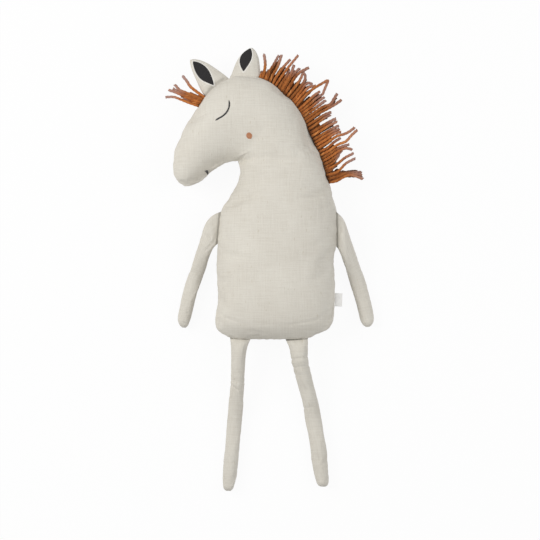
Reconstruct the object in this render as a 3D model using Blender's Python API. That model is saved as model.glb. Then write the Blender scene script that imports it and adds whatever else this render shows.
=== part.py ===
"""A stuffed linen horse that lies on its back.

+Z is its front, +Y points to its head, and the origin is the middle of the flat that it rests on.
Cover, sleeves and ears are lofts of upright cross-sections between two edges of the pattern outline.
"""

import math
import random

import bmesh
import bpy
import numpy as np
from mathutils import Matrix, Vector
from mathutils.bvhtree import BVHTree

# Cloth and fits
CLEARANCE = 0.0003
CLOTH = 0.0012
SEAM_SLIT = 0.0006
REST_FLAT = 0.0005
FILLING_GAP = 0.0009
FILLING_EDGE = 0.0040

# Torso and neck
TORSO_WIDTH = 0.191
TORSO_LENGTH = 0.284
TORSO_DEPTH = 0.088
REST_ABOVE_HEM_SHARE = 0.437

# Head
HEAD_LENGTH = 0.233
HEAD_HEIGHT = 0.174
HEAD_DEPTH = 0.082

# Arms
ARM_SEAM = 0.054
ARM_SEAM_ABOVE_HEM_SHARE = 0.525
ARM_WIDTH = 0.0235
ARM_DEPTH = 0.0225
LEFT_ARM_SPREAD = 0.055
LEFT_ARM_DROP = 0.160
RIGHT_ARM_SPREAD = 0.050
RIGHT_ARM_DROP = 0.155

# Legs
LEG_SEAM = 0.0335
LEG_DEPTH = 0.0235
LEFT_HIP_SHARE = 0.300
LEFT_LEG_WIDTH = 0.0232
LEFT_LEG_SPREAD = 0.0176
LEFT_LEG_DROP = 0.2445
RIGHT_HIP_SHARE = 0.176
RIGHT_LEG_WIDTH = 0.0258
RIGHT_LEG_SPREAD = 0.0392
RIGHT_LEG_DROP = 0.2350

# Ears, each with a hollow on its front that the dark lining lies in
EAR_DEPTH = 0.013
EAR_GAP = 0.0015
RIGHT_EAR_HEIGHT = 0.0450
RIGHT_EAR_LEAN = -0.0135
LEFT_EAR_HEIGHT = 0.0555
LEFT_EAR_LEAN = 0.0045
EAR_TIP_DEPTH = 0.003
EAR_HOLLOW = 0.0035
EAR_LINING = 0.0012
EAR_LINING_SHIFT = 0.0004

# Yarn mane and forelock
MANE_BELOW_NECK = 0.0560
MANE_SLICES = 6
MANE_STRANDS = 72
MANE_YARN = 0.061
FORELOCK_STRANDS = 9
FORELOCK_YARN = 0.056
YARN_THICKNESS = 0.0034
YARN_LAYER_PITCH = 0.0038
YARN_DROOP = 0.016
TAPE_WIDTH = 0.0026

# Embroidery
THREAD_THICKNESS = 0.0020
CHEEK_RADIUS = 0.0050
CHEEK_THICKNESS = 0.0010

# Side label
LABEL_ABOVE_HEM_SHARE = 0.188
LABEL_HEIGHT = 0.0210
LABEL_WIDTH = 0.0115
LABEL_RIBBON = 0.0004
LABEL_THICKNESS = 0.0014

# Each row joins the left edge to the right edge: across and up the torso, then its depth and how
# far its seam has come down from the torso's level to the head's.
TORSO_SHARES = (
    (-0.326, 0.000, 0.201, 0.000, 0.04, 0.0),
    (-0.402, 0.014, 0.280, 0.014, 0.33, 0.0),
    (-0.464, 0.042, 0.377, 0.042, 0.54, 0.0),
    (-0.503, 0.095, 0.462, 0.095, 0.76, 0.0),
    (-0.505, 0.175, 0.488, 0.175, 0.92, 0.0),
    (-0.496, 0.290, 0.494, 0.290, 1.00, 0.0),
    (-0.493, 0.437, 0.481, 0.437, 1.00, 0.0),
    (-0.493, 0.544, 0.508, 0.540, 0.99, 0.0),
    (-0.464, 0.718, 0.509, 0.715, 0.97, 0.0),
    (-0.385, 0.808, 0.473, 0.820, 0.95, 0.2),
    (-0.318, 0.899, 0.431, 0.910, 0.93, 0.5),
    (-0.318, 0.997, 0.347, 1.076, 0.92, 1.0),
)
# Each row joins the throat and jaw edge to the nape, crown and nose edge, from the throat on, then
# its depth. The rows fan out from the throat and end at the muzzle.
HEAD_SHARES = (
    (-0.024, 0.011, 0.364, 0.566, 0.99),
    (-0.062, 0.005, 0.110, 0.787, 1.00),
    (-0.113, -0.020, -0.124, 0.718, 0.98),
    (-0.185, -0.087, -0.292, 0.478, 0.91),
    (-0.261, -0.175, -0.408, 0.198, 0.80),
    (-0.316, -0.208, -0.447, 0.010, 0.65),
    (-0.346, -0.217, -0.441, -0.100, 0.45),
    (-0.365, -0.219, -0.408, -0.184, 0.15),
)
# What the mane, the ears and the forelock take of the crest, from the neck to the muzzle.
MANE_CREST_SHARE = 0.371
RIGHT_EAR_CREST_SHARE = 0.117
LEFT_EAR_CREST_SHARE = 0.113
FORELOCK_CREST_SHARE = 0.048
# Along an ear from its seam to its tip: place and width.
EAR_SHARES = (
    (0.1, 0.97),
    (0.2, 0.94),
    (0.4, 0.83),
    (0.6, 0.67),
    (0.75, 0.52),
    (0.88, 0.36),
    (0.96, 0.2),
    (1.0, 0.08),
)
LEFT_LINING_SHARES = (0.11, 0.90)
RIGHT_LINING_SHARES = (0.18, 0.95)
LINING_WIDTH_SHARE = 0.45
LINING_RIM_SHARE = 0.84
# Along a limb: where its rings stand, before its round end.
LIMB_RING_SHARES = (0.0, 0.03, 0.07, 0.13, 0.21, 0.31, 0.43, 0.57, 0.71, 0.84)
ARM_SWELL_SHARE = 0.50
LEG_SWELL_SHARE = 0.28
LIMB_DROOP_SHARE = 0.62
LIMB_TAPER_SHARE = 0.88
# Where a limb's middle line is pulled to on its way: out and down.
LEFT_ARM_BEND_SHARES = (0.75, 0.30)
RIGHT_ARM_BEND_SHARES = (0.56, 0.30)
LEFT_LEG_BEND_SHARES = (0.45, 0.50)
RIGHT_LEG_BEND_SHARES = (0.66, 0.50)
# How much of a limb it takes to go over from its wide seam to its own width.
ARM_ROOT_SHARE = 0.36
LEG_ROOT_SHARE = 0.10
# The mane's strands: along it, their length, and their sweep towards the forehead in degrees.
MANE_LENGTH_SHARES = ((0.0, 0.93), (0.25, 0.88), (0.45, 1.03), (0.7, 1.00), (0.85, 0.86), (1.0, 0.66))
MANE_SWEEP_DEGREES = ((0.0, -18.0), (0.4, 8.0), (1.0, 20.0))
FORELOCK_LENGTH_SHARES = ((0.0, 0.94), (1.0, 1.05))
FORELOCK_SWEEP_DEGREES = ((0.0, -4.0), (1.0, 30.0))
LAYER_DROOP_SHARES = (0.25, 0.6, 1.0)
CLUMP_SHARE = 0.85
# Places on the head, from the throat: across and up.
EYE_CENTRE_SHARES = (-0.185, 0.557)
EYE_RADIUS_SHARE = 0.170
EYE_FROM_DEGREES = 5.0
EYE_TO_DEGREES = -76.0
CHEEK_SHARES = (0.077, 0.247)
NOSTRIL_SHARES = (-0.214, -0.062)
NOSTRIL_LENGTH_SHARE = 0.043
NOSTRIL_SLANT_SHARE = 0.25
# The rolled edge that a limb or an ear ends in at its seam, and the shares and counts of small shapes.
BEAD_REACH_SHARE = 0.9
BEAD_HEIGHT_SHARE = 0.43
EAR_SWELL_SHARE = 0.4
EAR_LEAN_POWER = 1.4
LEAF_STEPS = 8
LEAF_POINT_SHARE = 0.12
EYE_STEPS = 14
FOLD_STEPS = 6
CHEEK_TOP_SHARE = 0.72
CLUMP_STRANDS = 17
LENGTH_SPREAD_SHARES = (0.86, 1.12)
YARN_RING_SHARES = ((0.0, 0.95), (0.2, 1.0), (0.45, 1.0), (0.72, 1.0), (0.94, 0.92), (1.0, 0.55))
NOSTRIL_RING_SHARES = ((0.0, 0.7), (0.25, 1.0), (0.6, 0.8), (1.0, 0.4))
LAYER_ORDER = (0, 2, 1)
TIP_DEGREES = (35.0, 60.0, 80.0)
SHARP_DEGREES = 50.0
FULLNESS = 0.9
STEPS = 2
BODY_SIDES = 24
LIMB_SIDES = 12
EAR_SIDES = 12
YARN_SIDES = 5
THREAD_SIDES = 6
TURN = 2 * math.pi
UP = Vector((0, 0, 1))
SEED = 7

AX, AY, BX, BY, LEVEL, FRONT, BACK = range(7)

REST_ABOVE_HEM = TORSO_LENGTH * REST_ABOVE_HEM_SHARE
TORSO_LEVEL = TORSO_DEPTH / 2 - REST_FLAT
HEAD_LEVEL = HEAD_DEPTH / 2 - REST_FLAT
SEAM_HALF = CLOTH + SEAM_SLIT / 2
YARN_RADIUS = YARN_THICKNESS / 2
TAPE_HALF_DEPTH = YARN_LAYER_PITCH + YARN_RADIUS + CLEARANCE


def clear_scene():
    for thing in list(bpy.data.objects):
        bpy.data.objects.remove(thing)


def finish(name, colour, roughness):
    """A plain cloth, yarn or thread material."""
    made = bpy.data.materials.new(name)
    made.use_nodes = True
    shader = made.node_tree.nodes["Principled BSDF"]
    shader.inputs["Base Color"].default_value = (*colour, 1)
    shader.inputs["Roughness"].default_value = roughness
    shader.inputs["Metallic"].default_value = 0
    made.diffuse_color = (*colour, 1)
    return made


def pivot_at(name, place):
    """An empty on a hinge line, which carries the pieces that turn there."""
    made = bpy.data.objects.new(name, None)
    made.location = place
    bpy.context.scene.collection.objects.link(made)
    return made


def add_piece(name, bm, material, pivot=None):
    """The object of a finished shape, with its origin on the pivot that carries it."""
    bmesh.ops.recalc_face_normals(bm, faces=bm.faces)
    mesh = bpy.data.meshes.new(name)
    bm.to_mesh(mesh)
    bm.free()
    mesh.materials.append(material)
    made = bpy.data.objects.new(name, mesh)
    bpy.context.scene.collection.objects.link(made)
    if pivot is not None:
        mesh.transform(Matrix.Translation(-pivot.location))
        made.parent = pivot
    mesh.shade_smooth()
    mesh.set_sharp_from_angle(angle=math.radians(SHARP_DEGREES))
    return made


# Cross-sections and lofts

def smooth(rows, steps):
    """Rows on a smooth curve through the given rows, with this many steps from each to the next."""
    padded = np.vstack([rows[:1], rows, rows[-1:]])
    made = []
    for i in range(len(rows) - 1):
        before, here, after, beyond = padded[i : i + 4]
        for step in range(steps):
            t = step / steps
            straight = 2 * here + (after - before) * t
            bend = (2 * before - 5 * here + 4 * after - beyond) * t**2
            twist = (3 * here - before - 3 * after + beyond) * t**3
            made.append((straight + bend + twist) / 2)
    made.append(rows[-1])
    return np.array(made)


def inset(rows, wall):
    """The rows of a hollow or a filling that lies this far inside, and is at least a slit deep."""
    made = rows.copy()
    reach = made[:, [BX, BY]] - made[:, [AX, AY]]
    reach /= np.linalg.norm(reach, axis=1)[:, None]
    made[:, [AX, AY]] += reach * wall
    made[:, [BX, BY]] -= reach * wall
    for side in (FRONT, BACK):
        made[:, side] = np.maximum(made[:, side] - wall, SEAM_SLIT / 2)
    return made


def shifted(row, towards, gap):
    """A row moved square to itself, towards another row."""
    made = row.copy()
    reach = np.array((row[BX] - row[AX], row[BY] - row[AY]))
    square = np.array((-reach[1], reach[0])) / np.linalg.norm(reach)
    way = (towards[[AX, AY]] + towards[[BX, BY]] - row[[AX, AY]] - row[[BX, BY]]) @ square
    for ends in ([AX, AY], [BX, BY]):
        made[ends] += square * math.copysign(gap, way)
    return made


def drawn_in(rows, gap):
    """The rows with the far end row moved along them by a gap."""
    made = rows.copy()
    step = made[-2] - made[-1]
    shorter = min(math.hypot(step[AX], step[AY]), math.hypot(step[BX], step[BY]))
    made[-1] += step * min(gap / shorter, 1 / 2)
    return made


def ring_points(row, sides):
    """An upright cross-section between the two edges, fuller than an ellipse."""
    points = []
    for k in range(sides):
        turn = TURN * k / sides
        across = math.cos(turn)
        rise = math.copysign(abs(math.sin(turn)) ** FULLNESS, math.sin(turn))
        x = (row[AX] + row[BX]) / 2 + (row[BX] - row[AX]) / 2 * across
        y = (row[AY] + row[BY]) / 2 + (row[BY] - row[AY]) / 2 * across
        points.append((x, y, row[LEVEL] + rise * (row[FRONT] if rise > 0 else row[BACK])))
    return points


def add_rings(bm, rows, sides):
    """The skin over a run of cross-sections; returns its rings of vertices."""
    rings = [[bm.verts.new(point) for point in ring_points(row, sides)] for row in rows]
    for here, after in zip(rings, rings[1:]):
        for k in range(sides):
            bm.faces.new((here[k - 1], here[k], after[k], after[k - 1]))
    return rings


def solid_of(rows, sides):
    bm = bmesh.new()
    rings = add_rings(bm, rows, sides)
    bm.faces.new(rings[0])
    bm.faces.new(rings[-1])
    return bm


def cover_of(outer, inner, sides):
    """A cloth cover with a closed far end and an open mouth at its first row."""
    bm = bmesh.new()
    outside = add_rings(bm, outer, sides)
    inside = add_rings(bm, inner, sides)
    for k in range(sides):
        bm.faces.new((outside[0][k - 1], outside[0][k], inside[0][k], inside[0][k - 1]))
    bm.faces.new(outside[-1])
    bm.faces.new(inside[-1])
    return bm


def lay_flat(bm):
    """Cuts the shape at the surface that it rests on."""
    bmesh.ops.recalc_face_normals(bm, faces=bm.faces)
    everything = bm.verts[:] + bm.edges[:] + bm.faces[:]
    cut = bmesh.ops.bisect_plane(bm, geom=everything, plane_co=(0, 0, 0), plane_no=UP, clear_inner=True)
    rim = [edge for edge in cut["geom_cut"] if isinstance(edge, bmesh.types.BMEdge)]
    if rim:
        bmesh.ops.edgenet_fill(bm, edges=rim)
    return bm


def tube_of(bm, path, radii, sides):
    """A closed tube along a path, with rings that stand square to it."""
    rings = []
    for i, point in enumerate(path):
        along = (path[min(i + 1, len(path) - 1)] - path[max(i - 1, 0)]).normalized()
        side = along.cross(UP).normalized()
        over = side.cross(along)
        ring = []
        for k in range(sides):
            turn = TURN * k / sides
            ring.append(bm.verts.new(point + (side * math.cos(turn) + over * math.sin(turn)) * radii[i]))
        rings.append(ring)
    for here, after in zip(rings, rings[1:]):
        for k in range(sides):
            bm.faces.new((here[k - 1], here[k], after[k], after[k - 1]))
    bm.faces.new(rings[0])
    bm.faces.new(rings[-1])


def between(table, place):
    """A value read from a table of places and values."""
    return float(np.interp(place, [row[0] for row in table], [row[1] for row in table]))


def ease(share):
    """Goes from 0 to 1 with a level start and a level end."""
    share = min(max(share, 0.0), 1.0)
    return share * share * (3 - 2 * share)


# The body's pattern outline

def body_rows():
    """Cross-sections from the hem over the neck to the muzzle, and the index of the neck's."""
    rows = []
    for left, left_up, right, right_up, depth, lean in TORSO_SHARES:
        half = TORSO_DEPTH / 2 * depth
        level = TORSO_LEVEL + (HEAD_LEVEL - TORSO_LEVEL) * lean
        a = (TORSO_WIDTH * left, TORSO_LENGTH * left_up - REST_ABOVE_HEM)
        b = (TORSO_WIDTH * right, TORSO_LENGTH * right_up - REST_ABOVE_HEM)
        rows.append((*a, *b, level, half, half))
    throat = a
    for jaw, jaw_up, crest, crest_up, depth in HEAD_SHARES:
        half = HEAD_DEPTH / 2 * depth
        a = (throat[0] + HEAD_LENGTH * jaw, throat[1] + HEAD_HEIGHT * jaw_up)
        b = (throat[0] + HEAD_LENGTH * crest, throat[1] + HEAD_HEIGHT * crest_up)
        rows.append((*a, *b, HEAD_LEVEL, half, half))
    return smooth(np.array(rows), STEPS), STEPS * (len(TORSO_SHARES) - 1)


class Crest:
    """The body's edge from the hem up the nape and over the crown, by its distance from the neck."""

    def __init__(self, rows, neck):
        self.points = rows[:, [BX, BY, LEVEL]]
        steps = np.linalg.norm(np.diff(self.points[:, :2], axis=0), axis=1)
        self.places = np.concatenate([[0], np.cumsum(steps)])
        self.places -= self.places[neck]

    def at(self, place):
        return np.array([np.interp(place, self.places, self.points[:, axis]) for axis in range(3)])

    def outward(self, place):
        """The direction square to the edge, away from the body, evened out over its facets."""
        along = (self.at(place + TAPE_WIDTH * 2) - self.at(place - TAPE_WIDTH * 2))[:2]
        return np.array((along[1], -along[0])) / np.linalg.norm(along)

    def within(self, start, end):
        """The edge's own corners between two places."""
        inside = (self.places > start) & (self.places < end)
        return self.points[inside][:, :2]


def seat(start, end, corners, outward, gap):
    """The line from start to end, moved outwards until it clears every corner by the gap."""
    start, end = np.array(start), np.array(end)
    square = np.array((end[1] - start[1], start[0] - end[0]))
    square /= np.linalg.norm(square)
    if square @ outward < 0:
        square = -square
    bulge = max([0.0] + [(corner - start) @ square for corner in corners])
    return start + square * (bulge + gap), end + square * (bulge + gap), square


# Body

def make_body(rows, neck, linen, filling):
    """The torso and the head, each a linen cover and its filling, which meet at the throat."""
    torso = rows[neck::-1]
    head = rows[neck:].copy()
    head[0] = shifted(head[0], head[1], CLEARANCE)
    trees = {}
    for name, outer, closed in (("torso", torso, 2), ("head", head, 1)):
        hollow = inset(outer, CLOTH)[: len(outer) - closed]
        cover = lay_flat(cover_of(outer, hollow, BODY_SIDES))
        trees[name] = BVHTree.FromBMesh(cover)
        add_piece(f"{name}_cover", cover, linen)
        stuffing = inset(outer, CLOTH + FILLING_GAP)[: len(outer) - closed]
        add_piece(f"{name}_filling", solid_of(drawn_in(stuffing, FILLING_GAP), BODY_SIDES // 2), filling)
    return trees["head"]


# Limbs

def limb_rows(side, seam, square, spread, drop, bend, width, depth, root_share, swell_share):
    """Cross-sections of a limb from its seam to its round end.

    seam holds its two ends, and square points away from the body. The limb hangs down by its
    drop and out by its spread on its own side, and droops until it lies on its back.
    """
    root = (seam[0] + seam[1]) / 2
    seam_half = np.linalg.norm(seam[1] - seam[0]) / 2
    seam_way = (seam[1] - root) / seam_half
    rest_level = depth / 2 - REST_FLAT
    length = math.hypot(spread, drop)
    round_from = 1 - width * LIMB_TAPER_SHARE / 2 / length
    places = list(LIMB_RING_SHARES) + [round_from]
    places += [round_from + (1 - round_from) * math.sin(math.radians(angle)) for angle in TIP_DEGREES]
    rows = []
    for t in places:
        out, down = (2 * t * (1 - t) * pull + t * t for pull in bend)
        middle = root + np.array((side * spread * out, -drop * down))
        out, down = (2 * (1 - 2 * t) * pull + 2 * t for pull in bend)
        slope = np.array((side * spread * out, -drop * down))
        slope /= np.linalg.norm(slope)
        across = np.array((-slope[1], slope[0])) * side
        blend = ease(t / root_share)
        way = seam_way * (1 - blend) + across * blend
        way /= np.linalg.norm(way)
        closing = math.sqrt(max(1 - (max(t - round_from, 0) / (1 - round_from)) ** 2, 0))
        taper = 1 + (LIMB_TAPER_SHARE - 1) * t
        half_width = (seam_half * (1 - blend) + width / 2 * taper * blend) * closing
        swell = 1 - (1 - min(t / swell_share, 1)) ** 2
        half_depth = (SEAM_HALF + (depth / 2 - SEAM_HALF) * swell) * closing
        level = TORSO_LEVEL + (rest_level - TORSO_LEVEL) * ease(t / LIMB_DROOP_SHARE)
        a, b = middle - way * half_width, middle + way * half_width
        rows.append((*a, *b, level, half_depth, half_depth))
    bead = np.array(rows[0])
    bead[[AX, AY]] -= square * SEAM_HALF * BEAD_REACH_SHARE
    bead[[BX, BY]] -= square * SEAM_HALF * BEAD_REACH_SHARE
    bead[[FRONT, BACK]] *= BEAD_HEIGHT_SHARE
    return np.array([bead] + rows)


def make_limb(name, rows, linen, filling):
    """A sleeve with its mouth at the seam, and its filling, both carried by the seam's hinge."""
    root = (rows[1][[AX, AY]] + rows[1][[BX, BY]]) / 2
    pivot = pivot_at(f"{name}_seam", (*root, rows[1][LEVEL]))
    hollow = inset(rows, CLOTH)[:-2]
    hollow[0][[FRONT, BACK]] = SEAM_SLIT / 3
    sleeve = lay_flat(cover_of(rows, hollow, LIMB_SIDES))
    add_piece(f"{name}_sleeve", sleeve, linen, pivot)
    stuffing = inset(rows, CLOTH + FILLING_GAP)[:-2]
    stuffing = stuffing[stuffing[:, FRONT] > FILLING_EDGE]
    add_piece(f"{name}_filling", solid_of(drawn_in(stuffing, FILLING_GAP), LIMB_SIDES), filling, pivot)


def make_arms(rows, neck, linen, filling):
    """The two arms, sewn into the side seams below the neck."""
    torso = rows[: neck + 1]
    for name, edge, side, spread, drop, bend in (
        ("left_arm", [AX, AY], -1, LEFT_ARM_SPREAD, LEFT_ARM_DROP, LEFT_ARM_BEND_SHARES),
        ("right_arm", [BX, BY], 1, RIGHT_ARM_SPREAD, RIGHT_ARM_DROP, RIGHT_ARM_BEND_SHARES),
    ):
        outline = torso[:, edge]
        low = TORSO_LENGTH * ARM_SEAM_ABOVE_HEM_SHARE - REST_ABOVE_HEM
        high = low + ARM_SEAM
        ends = [np.array((np.interp(y, outline[:, 1], outline[:, 0]), y)) for y in (low, high)]
        corners = [point for point in outline if low < point[1] < high]
        start, end, square = seat(*ends, corners, np.array((side, 0)), SEAM_HALF + CLEARANCE)
        sizes = (ARM_WIDTH, ARM_DEPTH, ARM_ROOT_SHARE, ARM_SWELL_SHARE)
        arm = limb_rows(side, (start, end), square, spread, drop, bend, *sizes)
        make_limb(name, arm, linen, filling)


def make_legs(rows, linen, filling):
    """The two legs, sewn into the hem."""
    low_left = rows[: 3 * STEPS, [AX, AY]]
    low_right = rows[: 3 * STEPS, [BX, BY]]
    hem = np.vstack([low_left[::-1], low_right])
    left = (LEFT_HIP_SHARE, LEFT_LEG_WIDTH, LEFT_LEG_SPREAD, LEFT_LEG_DROP, LEFT_LEG_BEND_SHARES)
    right = (RIGHT_HIP_SHARE, RIGHT_LEG_WIDTH, RIGHT_LEG_SPREAD, RIGHT_LEG_DROP, RIGHT_LEG_BEND_SHARES)
    for name, side, (hip, width, spread, drop, bend) in (("left_leg", -1, left), ("right_leg", 1, right)):
        inner, outer = (side * (TORSO_WIDTH * hip + half) for half in (-LEG_SEAM / 2, LEG_SEAM / 2))
        ends = [np.array((x, np.interp(x, hem[:, 0], hem[:, 1]))) for x in (inner, outer)]
        corners = [point for point in hem if min(inner, outer) < point[0] < max(inner, outer)]
        start, end, square = seat(*ends, corners, np.array((0, -1)), SEAM_HALF + CLEARANCE)
        sizes = (width, LEG_DEPTH, LEG_ROOT_SHARE, LEG_SWELL_SHARE)
        leg = limb_rows(side, (start, end), square, spread, drop, bend, *sizes)
        make_limb(name, leg, linen, filling)


# Ears

def ear_rows(start, end, square, height, lean, level):
    """Cross-sections of an ear from its seam on the crown to its tip."""
    base = end - start
    along = base / np.linalg.norm(base)
    middle = (start + end) / 2
    rows = []
    for t, width in ((0.0, 1.0), *EAR_SHARES):
        centre = middle + square * height * t + along * lean * t**EAR_LEAN_POWER
        half = np.linalg.norm(base) / 2 * width
        swell = 1 - (1 - min(t / EAR_SWELL_SHARE, 1)) ** 2
        thin = ease((t - EAR_SWELL_SHARE) / (1 - EAR_SWELL_SHARE))
        depth = SEAM_HALF + (EAR_DEPTH / 2 - SEAM_HALF) * swell
        depth += (EAR_TIP_DEPTH / 2 - depth) * thin
        rows.append((*(centre - along * half), *(centre + along * half), level, depth, depth))
    bead = np.array(rows[0])
    bead[[AX, AY]] -= square * SEAM_HALF * BEAD_REACH_SHARE
    bead[[BX, BY]] -= square * SEAM_HALF * BEAD_REACH_SHARE
    bead[[FRONT, BACK]] *= BEAD_HEIGHT_SHARE
    return np.array([bead] + rows)


def leaf_rows(start, end, square, height, lean, level, span, gap, front, back):
    """Cross-sections of the leaf that the ear's hollow and its lining share."""
    along = (end - start) / np.linalg.norm(end - start)
    middle = (start + end) / 2
    widest = np.linalg.norm(end - start) / 2 * LINING_WIDTH_SHARE
    first, last = span
    rows = []
    for step in range(LEAF_STEPS + 1):
        share = step / LEAF_STEPS
        t = first + (last - first) * share
        bow = max(math.sin(math.pi * share), LEAF_POINT_SHARE)
        centre = middle + square * height * t + along * (lean * t**EAR_LEAN_POWER + EAR_LINING_SHIFT)
        half = max(widest * bow - gap, widest * LEAF_POINT_SHARE / 2)
        rows.append((*(centre - along * half), *(centre + along * half), level, front * bow, back * bow))
    return np.array(rows)


def make_ear(name, crest, start, base, height, lean, span, linen, dark):
    """A linen ear with a hollow front, and the dark lining that lies in the hollow.

    start and base are its seam's place and length along the crest, span the lining's along the ear.
    """
    ends = [crest.at(start)[:2], crest.at(start + base)[:2]]
    level = float(crest.at(start + base / 2)[2])
    outward = crest.outward(start + base / 2)
    p, q, square = seat(*ends, crest.within(start, start + base), outward, SEAM_HALF + CLEARANCE)
    pivot = pivot_at(f"{name}_seam", (*((p + q) / 2), level))
    shell = solid_of(ear_rows(p, q, square, height, lean, level), EAR_SIDES)
    ear = add_piece(f"{name}_shell", shell, linen, pivot)
    rim = level + EAR_DEPTH / 2 * LINING_RIM_SHARE
    shape = (p, q, square, height, lean, rim, span)
    leaf = solid_of(leaf_rows(*shape, 0, EAR_DEPTH, EAR_HOLLOW), EAR_SIDES)
    hollow = add_piece(f"{name}_hollow", leaf, dark, pivot)
    hollow.hide_render = True
    hollow.display_type = "WIRE"
    cut = ear.modifiers.new("hollow", "BOOLEAN")
    cut.operation = "DIFFERENCE"
    cut.solver = "EXACT"
    cut.object = hollow
    under = EAR_HOLLOW - CLEARANCE
    lining = leaf_rows(*shape, CLEARANCE, EAR_LINING - under, under)
    add_piece(f"{name}_lining", solid_of(lining, EAR_SIDES), dark, pivot)


# Mane and forelock

def tape_of(crest, start, end):
    """A slice of the fringe's heading tape along the crest."""
    count = max(round((end - start) / (2 * TAPE_WIDTH)), 2)
    bm = bmesh.new()
    rings = []
    for step in range(count + 1):
        place = start + (end - start) * step / count
        edge = crest.at(place)
        out = crest.outward(place)
        near = edge[:2] + out * CLEARANCE * 2
        far = near + out * TAPE_WIDTH
        low, high = edge[2] - TAPE_HALF_DEPTH, edge[2] + TAPE_HALF_DEPTH
        corners = ((*near, low), (*far, low), (*far, high), (*near, high))
        rings.append([bm.verts.new(corner) for corner in corners])
    for here, after in zip(rings, rings[1:]):
        for k in range(4):
            bm.faces.new((here[k - 1], here[k], after[k], after[k - 1]))
    bm.faces.new(rings[0])
    bm.faces.new(rings[-1])
    return bm


def add_strand(bm, crest, place, layer, length, sweep, clump):
    """One yarn end, rooted in the tape, swept along the crest and drooping with its layer."""
    edge = crest.at(place)
    out = crest.outward(place)
    along = np.array((-out[1], out[0]))
    turned = out * math.cos(sweep) + along * math.sin(sweep)
    level = edge[2] + YARN_LAYER_PITCH * (1 - layer)
    root = edge[:2] + out * (2 * CLEARANCE + TAPE_WIDTH / 2)
    path = []
    radii = []
    for share, thick in YARN_RING_SHARES:
        reach = length * share
        plan = root + turned * reach + along * clump * share**2
        path.append(Vector((*plan, level - YARN_DROOP * LAYER_DROOP_SHARES[layer] * share**2)))
        radii.append(YARN_RADIUS * thick)
    tube_of(bm, path, radii, YARN_SIDES)


def make_fringe(name, crest, start, end, slices, strands, yarn, lengths, sweeps, rust):
    """Yarn ends in three layers on a heading tape, in slices along the crest."""
    draw = random.Random(SEED)
    slice_length = (end - start) / slices
    each = strands // slices
    margin = YARN_RADIUS + TAPE_WIDTH / 2
    pitch = (slice_length - 2 * margin) / (each - 1)
    room = len(LAYER_ORDER) * pitch - YARN_THICKNESS
    wave = [draw.uniform(0, TURN) for _ in LAYER_ORDER]
    for number in range(slices):
        slice_start = start + slice_length * number
        bundle = bmesh.new()
        for i in range(each * number, each * (number + 1)):
            place = slice_start + margin + pitch * (i - each * number)
            along = (place - start) / (end - start)
            layer = LAYER_ORDER[i % len(LAYER_ORDER)]
            clump = CLUMP_SHARE * room * math.sin(TURN * i / CLUMP_STRANDS + wave[layer])
            length = yarn * between(lengths, along) * draw.uniform(*LENGTH_SPREAD_SHARES)
            add_strand(bundle, crest, place, layer, length, math.radians(between(sweeps, along)), clump)
        label = name if slices == 1 else f"{name}_{number + 1}"
        tape = add_piece(label, tape_of(crest, slice_start, slice_start + slice_length - CLEARANCE), rust)
        ends = add_piece(f"{label}_ends", bundle, rust)
        ends.hide_render = True
        ends.display_type = "WIRE"
        join = tape.modifiers.new("ends", "BOOLEAN")
        join.operation = "UNION"
        join.solver = "EXACT"
        join.object = ends


# Embroidery

def on_head(tree, throat, shares, lift):
    """A point over the head's front at shares of its length and height, and which way it faces."""
    x = throat[0] + HEAD_LENGTH * shares[0]
    y = throat[1] + HEAD_HEIGHT * shares[1]
    return on_cover(tree, x, y, lift)


def on_cover(tree, x, y, lift):
    """The point over the front of a cover, lifted off it, and which way the cloth faces there."""
    place, square, _, _ = tree.ray_cast(Vector((x, y, HEAD_DEPTH * 2)), -UP)
    return place + square * lift, square


def make_eye(tree, throat, thread):
    """The closed eye: an arc of satin stitch that lies on the cheek."""
    centre_x = throat[0] + HEAD_LENGTH * EYE_CENTRE_SHARES[0]
    centre_y = throat[1] + HEAD_HEIGHT * EYE_CENTRE_SHARES[1]
    radius = HEAD_HEIGHT * EYE_RADIUS_SHARE
    path = []
    for step in range(EYE_STEPS + 1):
        angle = math.radians(EYE_FROM_DEGREES + (EYE_TO_DEGREES - EYE_FROM_DEGREES) * step / EYE_STEPS)
        x = centre_x + radius * math.cos(angle)
        y = centre_y + radius * math.sin(angle)
        path.append(on_cover(tree, x, y, THREAD_THICKNESS / 2 + CLEARANCE)[0])
    radii = [THREAD_THICKNESS / 2] * len(path)
    radii[0] = radii[-1] = THREAD_THICKNESS / 3
    bm = bmesh.new()
    tube_of(bm, path, radii, THREAD_SIDES)
    add_piece("eye_stitching", bm, thread)


def make_nostril(tree, throat, thread):
    """The nostril: a short stitch at the muzzle's lower edge."""
    top, _ = on_head(tree, throat, NOSTRIL_SHARES, 0)
    length = HEAD_HEIGHT * NOSTRIL_LENGTH_SHARE
    path = []
    for share, thick in NOSTRIL_RING_SHARES:
        x = top.x + length * share * NOSTRIL_SLANT_SHARE
        y = top.y - length * share
        path.append(on_cover(tree, x, y, THREAD_THICKNESS / 2 + CLEARANCE)[0])
    radii = [THREAD_THICKNESS / 2 * thick for _, thick in NOSTRIL_RING_SHARES]
    bm = bmesh.new()
    tube_of(bm, path, radii, THREAD_SIDES)
    add_piece("nostril_stitching", bm, thread)


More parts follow.
